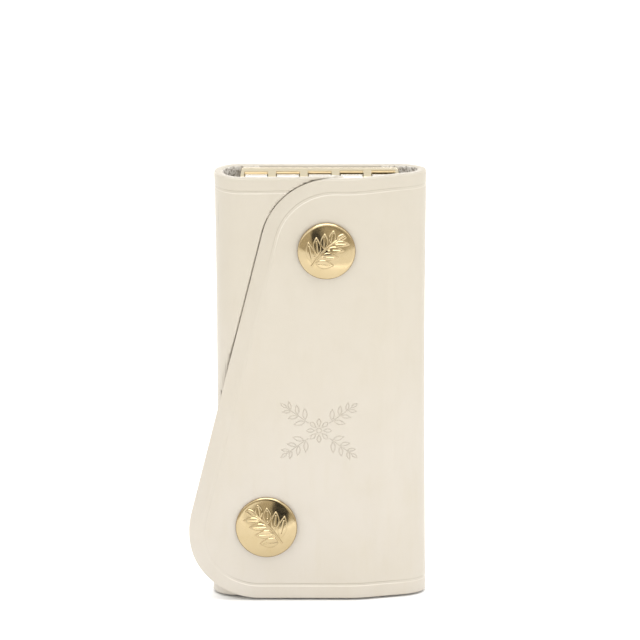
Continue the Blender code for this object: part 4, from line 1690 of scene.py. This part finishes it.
@dataclass
class Snap:
    """One snap: a domed cap and its socket, ring, stud and base.

    The cap leans by tilt, across and up, and its crown is led off the middle by lead.
    """

    case: Case
    place: SnapPlace
    motif: Sprig
    tilt: tuple[float, float]
    lead: tuple[float, float]
    rise: float = 2.1 * MM
    sag: float = 0.88 * MM
    face_share: float = 0.905
    rim_height: float = 0.62 * MM
    gap: float = 0.25 * MM
    sheet: float = 0.45 * MM
    lip: float = 0.16 * MM
    post: float = 1.3 * MM
    post_drop: float = 0.87 * MM
    relief: float = 0.17 * MM
    soft_edge: float = 0.62 * MM
    wire: float = 0.16 * MM
    wire_ring: float = 3.08 * MM
    wire_depth: float = 1.825 * MM
    mouth: float = radians(34)
    rings: int = 84
    steps: int = 264

    def cap_profile(self) -> list[tuple[float, float]]:
        """Draws the cap's section: crowned face, rolled rim, and the recess behind it.

        Returns:
            Its points in radius and height.
        """
        radius = self.place.radius
        face = self.face_share * radius
        shares = [i / self.rings for i in range(self.rings)]
        points = [(face * share, self.rise - self.sag * share**2) for share in shares]
        roll, drop = radius - face, self.rise - self.sag - self.rim_height
        slope = 2 * self.sag / face
        ways = (
            Vector((face, self.rise - self.sag)),
            Vector((face + 0.35 * roll, self.rise - self.sag - 0.35 * roll * slope)),
            Vector((radius, self.rim_height + 0.65 * drop)),
            Vector((radius, self.rim_height)),
        )
        for i in range(15):
            t = i / 14
            shares = ((1 - t) ** 3, 3 * t * (1 - t) ** 2, 3 * t * t * (1 - t), t**3)
            radial, height = sum((way * part for way, part in zip(ways, shares)), Vector((0, 0)))
            points.append((radial, height))
        for i in range(1, 5):
            angle = pi / 2 * i / 4
            inward = self.lip * (1 - cos(angle))
            points.append((radius - inward, self.rim_height - (self.rim_height - self.gap) * i / 4))
        inside = radius - self.sheet
        crown = self.rise - self.sheet
        points += [
            (inside, self.gap),
            (inside, self.rim_height - 0.15 * MM),
            (inside * 0.75, crown - self.sheet / 2),
            (self.post, crown - 0.1 * MM),
            (self.post, -self.post_drop),
            (0, -self.post_drop),
        ]
        return points

    def emboss(self, cap: bpy.types.Object) -> None:
        """Raises the motif on the cap's face and tints the ground round it dark, partly patina and
        partly painted shade, with a painted shade line along the rim.

        Args:
            cap: The turned cap.
        """
        points = points_of(cap)
        u = points[:, 0] - self.place.x
        v = points[:, 2] - self.place.z
        out = np.hypot(u, v)
        face = self.face_share * self.place.radius
        front = points[:, 1] < self.case.front_y - self.rim_height
        free = 1 - ease(0.90 * face, 0.97 * face, out)
        raised = np.zeros(len(points))
        raised[front] = self.motif.pressed(u[front], v[front]) * free[front]
        around = np.zeros(len(points))
        soft = replace(self.motif, edge=self.soft_edge)
        around[front] = soft.pressed(u[front], v[front]) * free[front]
        points[:, 1] -= raised * self.relief
        move_points(cap, points)
        # Partly patina and partly painted shade on the ground round the raised motif, and painted
        # shade along the rim's edge.
        patina_and_painted_shade = cap.data.attributes.new("patina_and_painted_shade", "FLOAT", "POINT")
        rim = ease(0.968 * self.place.radius, 0.99 * self.place.radius, out)
        share = np.maximum(np.clip(around - raised, 0, 1) * 0.9, rim * 0.5)
        patina_and_painted_shade.data.foreach_set("value", share.astype(np.float32))

    def build(self, gilt: bpy.types.Material, steel: bpy.types.Material) -> None:
        """Turns the snap's pieces and seats them on their flaps.

        Args:
            gilt: The finish of all but the ring.
            steel: The finish of the split ring.
        """
        label, x, z = self.place.label, self.place.x, self.place.z
        outer = (x, self.case.front_y, z)
        inner = (x, self.case.inner_y, z)
        cap = turn_on_lathe(
            f"{label}_cap_domed",
            self.cap_profile(),
            self.steps,
            Turn.TO_FRONT,
            outer,
        )
        self.emboss(cap)
        self.lean(cap)
        socket = turn_on_lathe(
            f"{label}_socket_ring",
            self.scaled((5.6, -1.25), (5.6, -2.2), (5.4, -2.4), (3.2, -2.4), (3.0, -2.2),
                        (3.0, -2.125), (3.6, -2.125), (3.6, -1.525), (3.0, -1.525), (3.0, -1.25)),
            96,
            Turn.TO_FRONT,
            outer,
        )
        stud = turn_on_lathe(
            f"{label}_stud_knob",
            self.scaled((0, 1.45), (1.4, 1.45), (1.72, 1.31), (1.9, 0.95), (1.78, 0.4),
                        (1.9, -0.125), (4.4, -0.125), (4.6, -0.25), (4.6, -0.575), (1.3, -0.575),
                        (1.3, 0.85), (0, 0.85)),
            96,
            Turn.TO_FRONT,
            inner,
            edge=0.06 * MM,
        )
        base = turn_on_lathe(
            f"{label}_base_disc",
            self.scaled((0, 0.6), (0.75, 0.6), (0.95, 0.4), (0.95, -1.9), (3.9, -1.9), (4.1, -2.05),
                        (4.1, -2.25), (3.8, -2.4), (1.6, -2.4), (1.2, -2.25), (0, -2.2)),
            96,
            Turn.TO_FRONT,
            inner,
            edge=0.05 * MM,
        )
        ring = self.split_ring(f"{label}_split_ring")
        for piece, finish, slot, body in (
            (cap, gilt, Slot.GILT, "outer_flap"),
            (socket, gilt, Slot.GILT, "outer_flap"),
            (ring, steel, Slot.STEEL, "outer_flap"),
            (stud, gilt, Slot.GILT, "inner_flap"),
            (base, gilt, Slot.GILT, "inner_flap"),
        ):
            dress(piece, finish, body)
        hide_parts(f"{label}_snap_cap")
        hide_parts(f"{label}_snap_socket")
        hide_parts(f"{label}_snap_ring")
        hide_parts(f"{label}_snap_stud")
        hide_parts(f"{label}_snap_base")

    @staticmethod
    def scaled(*points: tuple[float, float]) -> list[tuple[float, float]]:
        """A profile written in millimetres, in metres."""
        return [(radius * MM, height * MM) for radius, height in points]

    def lean(self, cap: bpy.types.Object) -> None:
        """Tips the cap slightly, as a set snap sits, and leads its crown off the middle.

        Args:
            cap: The turned cap.
        """
        points = points_of(cap)
        u, v = points[:, 0] - self.place.x, points[:, 2] - self.place.z
        inside = np.clip(1 - (u * u + v * v) / self.place.radius**2, 0, 1)
        across, up = self.tilt
        points[:, 1] += u * tan(across) + v * tan(up)
        points[:, 1] += (u * self.lead[0] + v * self.lead[1]) * inside
        move_points(cap, points)

    def split_ring(self, name: str) -> bpy.types.Object:
        """The round spring wire in the socket's groove, open at one side.

        Args:
            name: The ring's name.

        Returns:
            The ring.
        """
        deselect()
        bpy.ops.mesh.primitive_circle_add(
            vertices=12,
            radius=self.wire,
            fill_type="NGON",
            location=(self.wire_ring, 0, 0),
            rotation=(pi / 2, 0, 0),
        )
        ring = settle(bpy.context.object)
        ring.name = name
        way = 2 * pi - self.mouth
        with editing(ring):
            bpy.ops.mesh.select_all(action="SELECT")
            bpy.ops.mesh.spin(steps=60, angle=way, center=(0, 0, 0), axis=(0, 0, 1))
            bpy.ops.mesh.select_all(action="SELECT")
            bpy.ops.mesh.normals_make_consistent(inside=False)
        ring.rotation_euler = Turn.TO_FRONT.value
        ring.location = (self.place.x, self.case.front_y + self.wire_depth, self.place.z)
        settle(ring)
        smooth(ring)
        return ring


# Key plate


@dataclass
class KeyPlate:
    """The folded brass plate with its five windows, its rod and its rivets."""

    case: Case
    sheet: float = 0.75 * MM
    height: float = 10.5 * MM
    top_drop: float = 0.2 * MM
    crest: float = 0.8 * MM
    curl_end: float = radians(312)
    rod_radius: float = 0.8 * MM
    bore: float = 1.1 * MM
    window: float = 6.4 * MM
    window_reach: float = 2.1 * MM
    window_slant: float = 0.022
    end_round: float = 1.1 * MM
    edge_round: float = 0.13 * MM
    cut_shade: float = 0.65
    collar: float = 1.3 * MM
    collar_face: float = 0.8 * MM
    collar_length: float = 0.6 * MM
    collar_chamfer: float = 0.25 * MM
    rivet_pitch_share: float = 1.5
    rivet_drop: float = 6.7 * MM
    rivet_hole: float = 1.3 * MM
    shank: float = 1.0 * MM
    shank_end: float = 0.8 * MM
    head: float = 1.8 * MM
    head_rise: float = 0.9 * MM
    head_flatness: float = 0.305
    dome: float = 3.2 * MM
    dome_rise: float = 1.3 * MM
    dome_rim: float = 0.42 * MM
    dome_bore: float = 1.25 * MM
    dome_floor: float = 1.05 * MM
    fine_gap: float = 0.25 * MM
    gap: float = 0.3 * MM

    def __post_init__(self) -> None:
        """Reads the plate's and the hooks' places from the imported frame."""
        low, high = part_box("key_plate")
        self.half_width = high.x
        self.leaf_y = high.y - self.sheet / 2
        joints = {item["name"]: item for item in FRAME["joints"]}
        self.hooks = [Vector(joints[f"hook_{n}_swing"]["pos_m"]) for n in range(1, 6)]
        self.rod = self.hooks[0]

    def route(self) -> list[tuple[float, float]]:
        """Draws the plate's middle line: leaf, crest, roof and the front curl.

        Returns:
            Its points in Y and Z.
        """
        top = self.case.height - self.top_drop - self.sheet / 2
        crest = Vector((self.leaf_y - self.crest, top - self.crest))
        curl = Vector((self.rod.y, self.rod.z))
        radius = self.bore + self.sheet / 2
        run = curl - crest
        lead = (radius - self.crest) / run.length
        tangent = atan2(run.y, run.x) + 2 * pi - pi / 2 - asin(lead)
        foot = self.case.height - self.top_drop - self.height
        points = [(self.leaf_y, foot)]
        points += arc(crest, self.crest, 0, tangent, 10)
        points += arc(curl, radius, tangent, self.curl_end, 30)
        return points

    def make_plate(self) -> bpy.types.Object:
        """Bends the plate from a strip, cuts its windows and breaks its edges.

        Returns:
            The plate.
        """
        route = [(-self.half_width, y, z) for y, z in self.route()]
        plate = Pen("key_plate_folded", route[0]).draw(route[1:]).lift()
        width = 2 * self.half_width
        with editing(plate):
            bpy.ops.mesh.select_all(action="SELECT")
            bpy.ops.mesh.extrude_region_move(TRANSFORM_OT_translate={"value": (width, 0, 0)})
        apply_modifier(
            plate, "SOLIDIFY", thickness=self.sheet, offset=0, use_even_offset=True
        )
        with editing(plate):
            bpy.ops.mesh.select_all(action="SELECT")
            bpy.ops.mesh.normals_make_consistent(inside=False)
        over = 2.0 * MM
        for hook in self.hooks:
            low = (hook.x - self.window / 2, self.case.front_y, self.rod.z - self.bore - over)
            high = (
                hook.x + self.window / 2,
                self.rod.y + self.window_reach + self.window_slant * hook.x,
                self.case.height + over,
            )
            combine(plate, add_box("window", low, high))
        top, half, corner = self.case.height - self.top_drop, self.half_width, self.end_round
        outline = [(-half, 0), (half, 0)]
        outline += arc((half - corner, top - corner), corner, 0, pi / 2, 8)
        outline += arc((corner - half, top - corner), corner, pi / 2, pi, 8)
        blank = cut_plate("blank", outline, 4 * self.case.back_y + 20 * MM)
        combine(plate, blank, "INTERSECT")
        for x in self.rivet_places():
            place = (x, self.leaf_y, self.case.height - self.rivet_drop)
            combine(plate, add_rod("hole", place, self.rivet_hole, over, Turn.TO_FRONT, 40))
        round_edges(plate, self.edge_round, 3)
        smooth(plate)
        self.paint_shade_on_cuts(plate)
        return plate

    def paint_shade_on_cuts(self, plate: bpy.types.Object) -> None:
        """Paints shade on the windows' cut back edges, where the gap behind them lies in shadow.

        Args:
            plate: The finished plate.
        """
        # Painted shade on the cut faces behind the windows.
        reach = self.rod.y + self.window_reach
        near = [
            face.normal.y < -0.8 and abs(face.center.y - reach) < 0.7 * MM
            for face in plate.data.polygons
        ]
        patina_and_painted_shade = plate.data.attributes.new("patina_and_painted_shade", "FLOAT", "FACE")
        patina_and_painted_shade.data.foreach_set("value", self.cut_shade * np.array(near, dtype=np.float32))

    def rivet_places(self) -> tuple[float, float]:
        """Where the two rivets sit along X."""
        pitch = self.hooks[1].x - self.hooks[0].x
        return -self.rivet_pitch_share * pitch, self.rivet_pitch_share * pitch

    def build(self, plated: bpy.types.Material, gilt: bpy.types.Material) -> None:
        """Makes plate, rod and rivets.

        Args:
            plated: The finish of the plate, the rod and the rivets.
            gilt: The finish of the rivet caps.
        """
        plate = self.make_plate()
        dress(plate, plated, "case_back")
        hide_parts("key_plate")
        half = self.half_width + self.gap
        end = half + self.collar_length
        upper = [
            (0, end),
            (self.collar_face, end),
            (self.collar, end - self.collar_chamfer),
            (self.collar, half),
            (self.rod_radius, half),
        ]
        rod = turn_on_lathe(
            "key_plate_rod",
            upper + [(radius, -height) for radius, height in reversed(upper)],
            48,
            Turn.TO_RIGHT,
            (0, self.rod.y, self.rod.z),
        )
        dress(rod, plated, "case_back")
        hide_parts("hinge_rod")
        for side, x in zip(("left", "right"), self.rivet_places()):
            self.add_rivet(side, x, plated, gilt)

    def add_rivet(
        self, side: str, x: float, plated: bpy.types.Material, gilt: bpy.types.Material
    ) -> None:
        """One rivet through plate and leather, and its domed cap at the back.

        Args:
            side: The first word of its names.
            x: Its place in X.
            plated: The rivet's finish.
            gilt: The cap's finish.
        """
        z = self.case.height - self.rivet_drop
        back = self.case.back_y
        seat = self.leaf_y - self.sheet / 2 - self.fine_gap - back
        top = seat - self.head_rise
        rounded = [
            (radius, top + (self.head + height) * self.head_flatness)
            for radius, height in arc((0, 0), self.head, 0, -pi / 2, 10)
        ]
        shank = [(0, self.shank_end), (self.shank, self.shank_end), (self.shank, seat)]
        rivet = turn_on_lathe(
            f"{side}_rivet_shank",
            [*shank, (self.head, seat), *rounded],
            48,
            Turn.TO_BACK,
            (x, back, z),
        )
        dress(rivet, plated, "case_back")
        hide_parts(f"{side}_plate_rivet")
        low, crown = self.fine_gap, (self.dome_rise - self.dome_rim) / self.dome
        cap = [
            (radius, low + self.dome_rim + height * crown)
            for radius, height in arc((0, 0), self.dome, pi / 2, 0, 18)
        ]
        cap += [(self.dome - 0.04 * MM, low + 0.12 * MM), (self.dome - 0.16 * MM, low)]
        cap += [(self.dome_bore, low), (self.dome_bore, self.dome_floor), (0, self.dome_floor)]
        cover = turn_on_lathe(f"{side}_rivet_dome", cap, 96, Turn.TO_BACK, (x, back, z))
        dress(cover, gilt, "case_back")
        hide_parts(f"{side}_rivet_cap")


# Hooks


@dataclass
class KeyHooks:
    """Five key hooks on the rod, each a hanger, a swivel pin, a body and a spring gate."""

    places: Sequence[Vector]
    sleeve: float = 1.92 * MM
    bore: float = 1.1 * MM
    hanger_half: float = 2.9 * MM
    hanger_leg: float = 0.9 * MM
    hanger_drop: float = 4.8 * MM
    foot: float = 1.0 * MM
    hanger_thick: float = 2.4 * MM
    gap: float = 0.3 * MM
    thick: float = 2.4 * MM
    eye: float = 2.5 * MM
    bar: float = 1.4 * MM
    neck: float = 1.9 * MM
    neck_height: float = 2.6 * MM
    shoulder: float = 4.8 * MM
    arm: float = 16.6 * MM
    tip: float = 4.7 * MM
    stub: float = 2.6 * MM
    stub_height: float = 1.0 * MM
    brow: float = 0.6 * MM
    brow_round: float = 0.9 * MM
    shoulder_round: float = 1.4 * MM
    shoulder_rise: float = 0.1 * MM
    foot_round: float = 0.7 * MM
    edge_round: float = 0.32 * MM
    pin: float = 0.5 * MM
    pin_head: float = 1.4 * MM
    pin_drop: float = 2.5 * MM
    pin_gap: float = 0.25 * MM
    barrel: float = 0.65 * MM
    gate_half: float = 0.3 * MM
    gate_width: float = 1.7 * MM
    gate_lap: float = 1.8 * MM

    def make_hanger(self) -> bpy.types.Object:
        """Makes the sleeve on the rod with the frame below it, the rod at the origin.

        Returns:
            The hanger.
        """
        half, low, corner = self.hanger_half, -self.hanger_drop, self.foot_round
        outline = arc((corner - half, low + corner), corner, pi, 3 * pi / 2, 5)
        outline += arc((half - corner, low + corner), corner, -pi / 2, 0, 5)
        outline += [(half, -self.bore / 2), (-half, -self.bore / 2)]
        hanger = cut_plate("hanger", outline, self.hanger_thick)
        inner = half - self.hanger_leg
        window = add_box(
            "window", (-inner, -self.thick, low + self.foot), (inner, self.thick, -self.bore)
        )
        combine(hanger, window)
        combine(hanger, add_rod("sleeve", CENTRE, self.sleeve, 2 * half, Turn.TO_RIGHT), "UNION")
        combine(hanger, add_rod("bore", CENTRE, self.bore, 3 * half, Turn.TO_RIGHT))
        foot_middle = (0, 0, low + self.foot / 2)
        hole = self.pin + self.gap
        combine(hanger, add_rod("pin_hole", foot_middle, hole, 2 * self.foot, Turn.UPRIGHT, 32))
        round_edges(hanger, 0.12 * MM, 2)
        smooth(hanger)
        return hanger

    def make_pin(self) -> bpy.types.Object:
        """Turns the swivel pin, measured from the hanger's foot.

        Returns:
            The pin.
        """
        head = self.foot + self.pin_gap
        profile = [
            (0, head + 0.8 * MM),
            (self.pin_head / 2, head + 0.78 * MM),
            (self.pin_head - 0.3 * MM, head + 0.6 * MM),
            (self.pin_head, head + 0.25 * MM),
            (self.pin_head, head),
            (self.pin, head),
            (self.pin, -self.pin_drop),
            (0, -self.pin_drop),
        ]
        return turn_on_lathe("swivel_pin", profile, 40, Turn.UPRIGHT, CENTRE)

    def outline(self) -> list[tuple[float, float]]:
        """Draws the hook from the front, measured from the middle of its top edge.

        Returns:
            Its points in X and Z.
        """
        wide = self.eye + self.bar
        stub_z = -self.shoulder - self.stub_height
        brow_z = -self.shoulder - self.brow
        bottom = -self.shoulder - self.arm
        middle = wide - self.stub / 2
        tip = (wide + self.eye) / 2
        turn, brow = self.shoulder_round, self.brow_round
        side, turn_z = wide - turn, -self.shoulder + self.shoulder_rise
        points = [(-self.neck, 0), (self.neck, 0), (self.neck, -self.neck_height)]
        points += arc((side, turn_z), turn, radians(52), 0, 5)
        points += [(wide, stub_z)]
        points += arc((middle, stub_z), self.barrel + self.gap, 0, pi, 14)
        points += [(wide - self.stub, stub_z), (wide - self.stub, brow_z)]
        points += arc((brow - self.eye, brow_z - brow), brow, pi / 2, pi, 6)
        points += arc((0, bottom), self.eye, pi, 2 * pi, 26)
        points += arc((tip, bottom + self.tip), self.bar / 2, pi, 0, 14)
        points += arc((0, bottom), wide, 0, -pi, 34)
        points += arc((-side, turn_z), turn, pi, radians(128), 5)
        points += [(-self.neck, -self.neck_height)]
        return points

    def make_body(self) -> bpy.types.Object:
        """Makes the stamped hook with its rounded edges and the pin's socket.

        Returns:
            The hook's body.
        """
        hook = cut_plate("hook", self.outline(), self.thick)
        bore, depth = self.pin + self.pin_gap, 2 * self.pin_drop
        combine(hook, add_rod("socket", CENTRE, bore, depth, Turn.UPRIGHT, 32))
        round_edges(hook, self.edge_round, 4)
        smooth(hook, radians(50))
        return hook

    def make_gate(self) -> bpy.types.Object:
        """Makes the spring gate in its leaning place, measured from the top of the hook.

        Returns:
            The gate.
        """
        half, wide = self.gate_half, self.eye + self.bar
        pivot_x = wide - self.stub / 2
        pivot_z = -self.shoulder - self.stub_height
        tip_top = -self.shoulder - self.arm + self.tip + self.bar / 2
        rest_x = self.eye - self.pin_gap - half
        drop = pivot_z - tip_top + self.gate_lap
        length = sqrt(drop**2 + (pivot_x - rest_x) ** 2)
        waist = asin(half / self.barrel)
        outline = arc((0, 0), self.barrel, -pi / 2 + waist, 3 * pi / 2 - waist, 22)
        outline += arc((0, half - length), half, pi, 2 * pi, 8)
        gate = cut_plate("gate", outline, self.gate_width)
        round_edges(gate, 0.08 * MM, 2)
        gate.rotation_euler = (0, atan2(pivot_x - rest_x, drop), 0)
        gate.location = (pivot_x, 0, pivot_z)
        settle(gate)
        smooth(gate)
        return gate

    def build(
        self, pale: bpy.types.Material, plated: bpy.types.Material, steel: bpy.types.Material
    ) -> None:
        """Models one of each piece and hangs a copy on every place.

        Args:
            pale: The finish of the hangers.
            plated: The finish of pins and hooks.
            steel: The finish of the spring gates.
        """
        top = -self.hanger_drop - self.gap
        foot = -self.hanger_drop
        kinds = (
            (self.make_hanger(), "hanger", 0.0, pale, Slot.PLATED, "hanger_{}"),
            (self.make_pin(), "swivel_pin", foot, plated, Slot.PLATED, "hook_{}"),
            (self.make_body(), "body", top, plated, Slot.PLATED, "hook_{}"),
            (self.make_gate(), "gate", top, steel, Slot.STEEL, "gate_{}"),
        )
        for first, label, drop, finish, slot, body in kinds:
            for number, place in enumerate(self.places, 1):
                step = place + Vector((0, 0, drop))
                piece = copy_of(first, f"key_hook_{number}_{label}", step)
                dress(piece, finish, body.format(number))
                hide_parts(f"hook_{number}_{label}")
            bpy.data.objects.remove(first)


# Studio


@dataclass(frozen=True)
class Softbox:
    """A soft lamp that looks at the case."""

    name: str
    place: Place
    size: tuple[float, float]
    power: float
    shows: bool = True
    lights: bool = True

    def build(self) -> None:
        """Hangs the lamp, mirrored by metal if it shows, and on matt faces if it lights."""
        lamp = bpy.data.lights.new(self.name, "AREA")
        lamp.shape = "RECTANGLE"
        lamp.size, lamp.size_y = self.size
        lamp.energy = self.power
        holder = bpy.data.objects.new(self.name, lamp)
        bpy.context.scene.collection.objects.link(holder)
        holder.location = self.place
        holder.visible_camera = False
        holder.visible_glossy = self.shows
        holder.visible_diffuse = self.lights
        look = Vector((0, 0, 60 * MM)) - Vector(self.place)
        holder.rotation_euler = look.to_track_quat("-Z", "Y").to_euler()


@dataclass
class Studio:
    """A plain pale floor, soft light and the camera."""

    aim: Place = (0.07 * MM, -15.8 * MM, 78.17 * MM)
    distance: float = 4.0
    elevation: float = radians(15.5)
    lens: float = 841.5
    horizon: float = 0.84
    zenith: float = 1.16
    sides: float = 0.38
    stand_lean: float = 0.8
    stand_middle: tuple[float, float] = (0.09, 0.085)
    stand_half: tuple[float, float] = (0.085, 0.12)
    softboxes: tuple[Softbox, ...] = (
        Softbox("top_softbox", (0.0, -0.06, 1.15), (0.9, 0.6), 4.6),
        Softbox("rim_softbox", (0.0, -0.50, 0.85), (0.8, 0.7), 6.0, lights=False),
        Softbox("back_softbox", (0.1, 1.1, 0.28), (1.5, 0.35), 6.5),
        Softbox("low_fill", (0.04, -0.22, 0.02), (0.26, 0.04), 0.10, shows=False),
    )

    def add_floor(self) -> None:
        """The pale floor, part of the stage."""
        deselect()
        bpy.ops.mesh.primitive_plane_add(size=8.0, location=(0, 0, -0.02 * MM))
        floor = settle(bpy.context.object)
        floor.name = "floor"
        graph = Graph("pale_floor")
        haze = graph.noise(3, 2)
        tint = graph.blend(haze, (0.96, 0.96, 0.96), (0.975, 0.975, 0.97))
        floor.data.materials.append(graph.dress(Base_Color=tint, Roughness=0.9))

    def add_card(self) -> None:
        """The room in front of the case, which only its metal mirrors: part of the stage.

        It is grey above the table's edge, with the dark stand of the camera in its middle.
        """
        card = add_box("room_card", (-0.9, -0.52, 0.0), (0.9, -0.5, 0.42))
        graph = Graph("room_card")
        parts = graph.node("ShaderNodeSeparateXYZ", {}, {"Vector": graph.place})
        x, z = (Signal(graph, parts.outputs[name]) for name in ("X", "Z"))
        (middle, height), (half, rise) = self.stand_middle, self.stand_half
        across = (x + z * self.stand_lean - middle) * (1 / half)
        up = (z - height) * (1 / rise)
        clear = (across * across + up * up).eased(0.6, 1.2)
        dim = z.eased(-0.01, 0.02) * (1 - z.eased(0.19, 0.28))
        wall = graph.blend(dim, (0.97,) * 3, (0.46, 0.42, 0.34))
        tint = graph.blend(clear, (0.025,) * 3, wall)
        card.data.materials.append(graph.dress(Base_Color=tint, Roughness=1.0))
        card.visible_camera = False
        card.visible_diffuse = False
        card.visible_shadow = False

    def add_world(self) -> None:
        """A nearly white surround, brighter overhead and to both sides."""
        world = bpy.data.worlds.new("studio")
        world.use_nodes = True
        nodes, links = world.node_tree.nodes, world.node_tree.links
        sky = nodes["Background"]
        sky.inputs["Color"].default_value = (1.0, 0.997, 0.99, 1.0)
        way = nodes.new("ShaderNodeTexCoord")
        parts = nodes.new("ShaderNodeSeparateXYZ")
        rise = nodes.new("ShaderNodeMapRange")
        rise.inputs["To Min"].default_value = self.horizon
        rise.inputs["To Max"].default_value = self.zenith
        across = nodes.new("ShaderNodeMath")
        across.operation = "ABSOLUTE"
        light = nodes.new("ShaderNodeMath")
        light.operation = "MULTIPLY_ADD"
        light.inputs[1].default_value = self.sides
        links.new(way.outputs["Generated"], parts.inputs["Vector"])
        links.new(parts.outputs["X"], across.inputs[0])
        links.new(parts.outputs["Z"], rise.inputs["Value"])
        links.new(across.outputs["Value"], light.inputs[0])
        links.new(rise.outputs["Result"], light.inputs[2])
        links.new(light.outputs["Value"], sky.inputs["Strength"])
        bpy.context.scene.world = world

    def add_camera(self) -> None:
        """The camera at the photograph's angle."""
        data = bpy.data.cameras.new("camera")
        data.lens = self.lens
        data.clip_start = 0.05
        data.clip_end = 20.0
        camera = bpy.data.objects.new("camera", data)
        bpy.context.scene.collection.objects.link(camera)
        back = Vector((0, -cos(self.elevation), sin(self.elevation)))
        camera.location = Vector(self.aim) + back * self.distance
        camera.rotation_euler = (-back).to_track_quat("-Z", "Y").to_euler()
        bpy.context.scene.camera = camera

    def build(self) -> None:
        """Sets the whole studio up."""
        bpy.context.scene.view_settings.view_transform = "Standard"
        self.add_floor()
        self.add_card()
        for softbox in self.softboxes:
            softbox.build()
        self.add_world()
        self.add_camera()


def main() -> None:
    """Builds the case's pieces in order, and then the studio."""
    logging.basicConfig(level=logging.INFO, format="%(name)s: %(message)s")
    case = Case.from_frame()
    top, low = SnapPlace.from_frame("top"), SnapPlace.from_frame("low")
    gilt, plated, steel = GILT.material(), PLATED.material(), STEEL.material()
    leather = LeatherSheet(case, (top, low))
    for piece in leather.build():
        LOG.info("%s has %d faces", piece.name, len(piece.data.polygons))
    sprig = Sprig(11.4 * MM, 4.9 * MM, 4, edge=0.2 * MM, berry=0.42 * MM, bow=0.07)
    top_sprig = replace(sprig, turn=radians(-46), bow=-0.07)
    low_sprig = replace(sprig, length=12.0 * MM, leaf=5.2 * MM, turn=radians(46))
    top_tilt, low_tilt = (radians(1.5), radians(0.6)), (radians(-1.5), radians(1.6))
    Snap(case, top, top_sprig, tilt=top_tilt, lead=(0.07, 0.055)).build(gilt, steel)
    Snap(case, low, low_sprig, tilt=low_tilt, lead=(-0.05, 0.09)).build(gilt, steel)
    LOG.info("both snaps are set")
    plate = KeyPlate(case)
    plate.build(plated, gilt)
    LOG.info("the key plate is riveted")
    KeyHooks(plate.hooks).build(NICKEL.material(), plated, steel)
    LOG.info("%d hooks hang on the rod", len(plate.hooks))
    Studio().build()
    deselect()


if __name__ == "__main__":
    main()
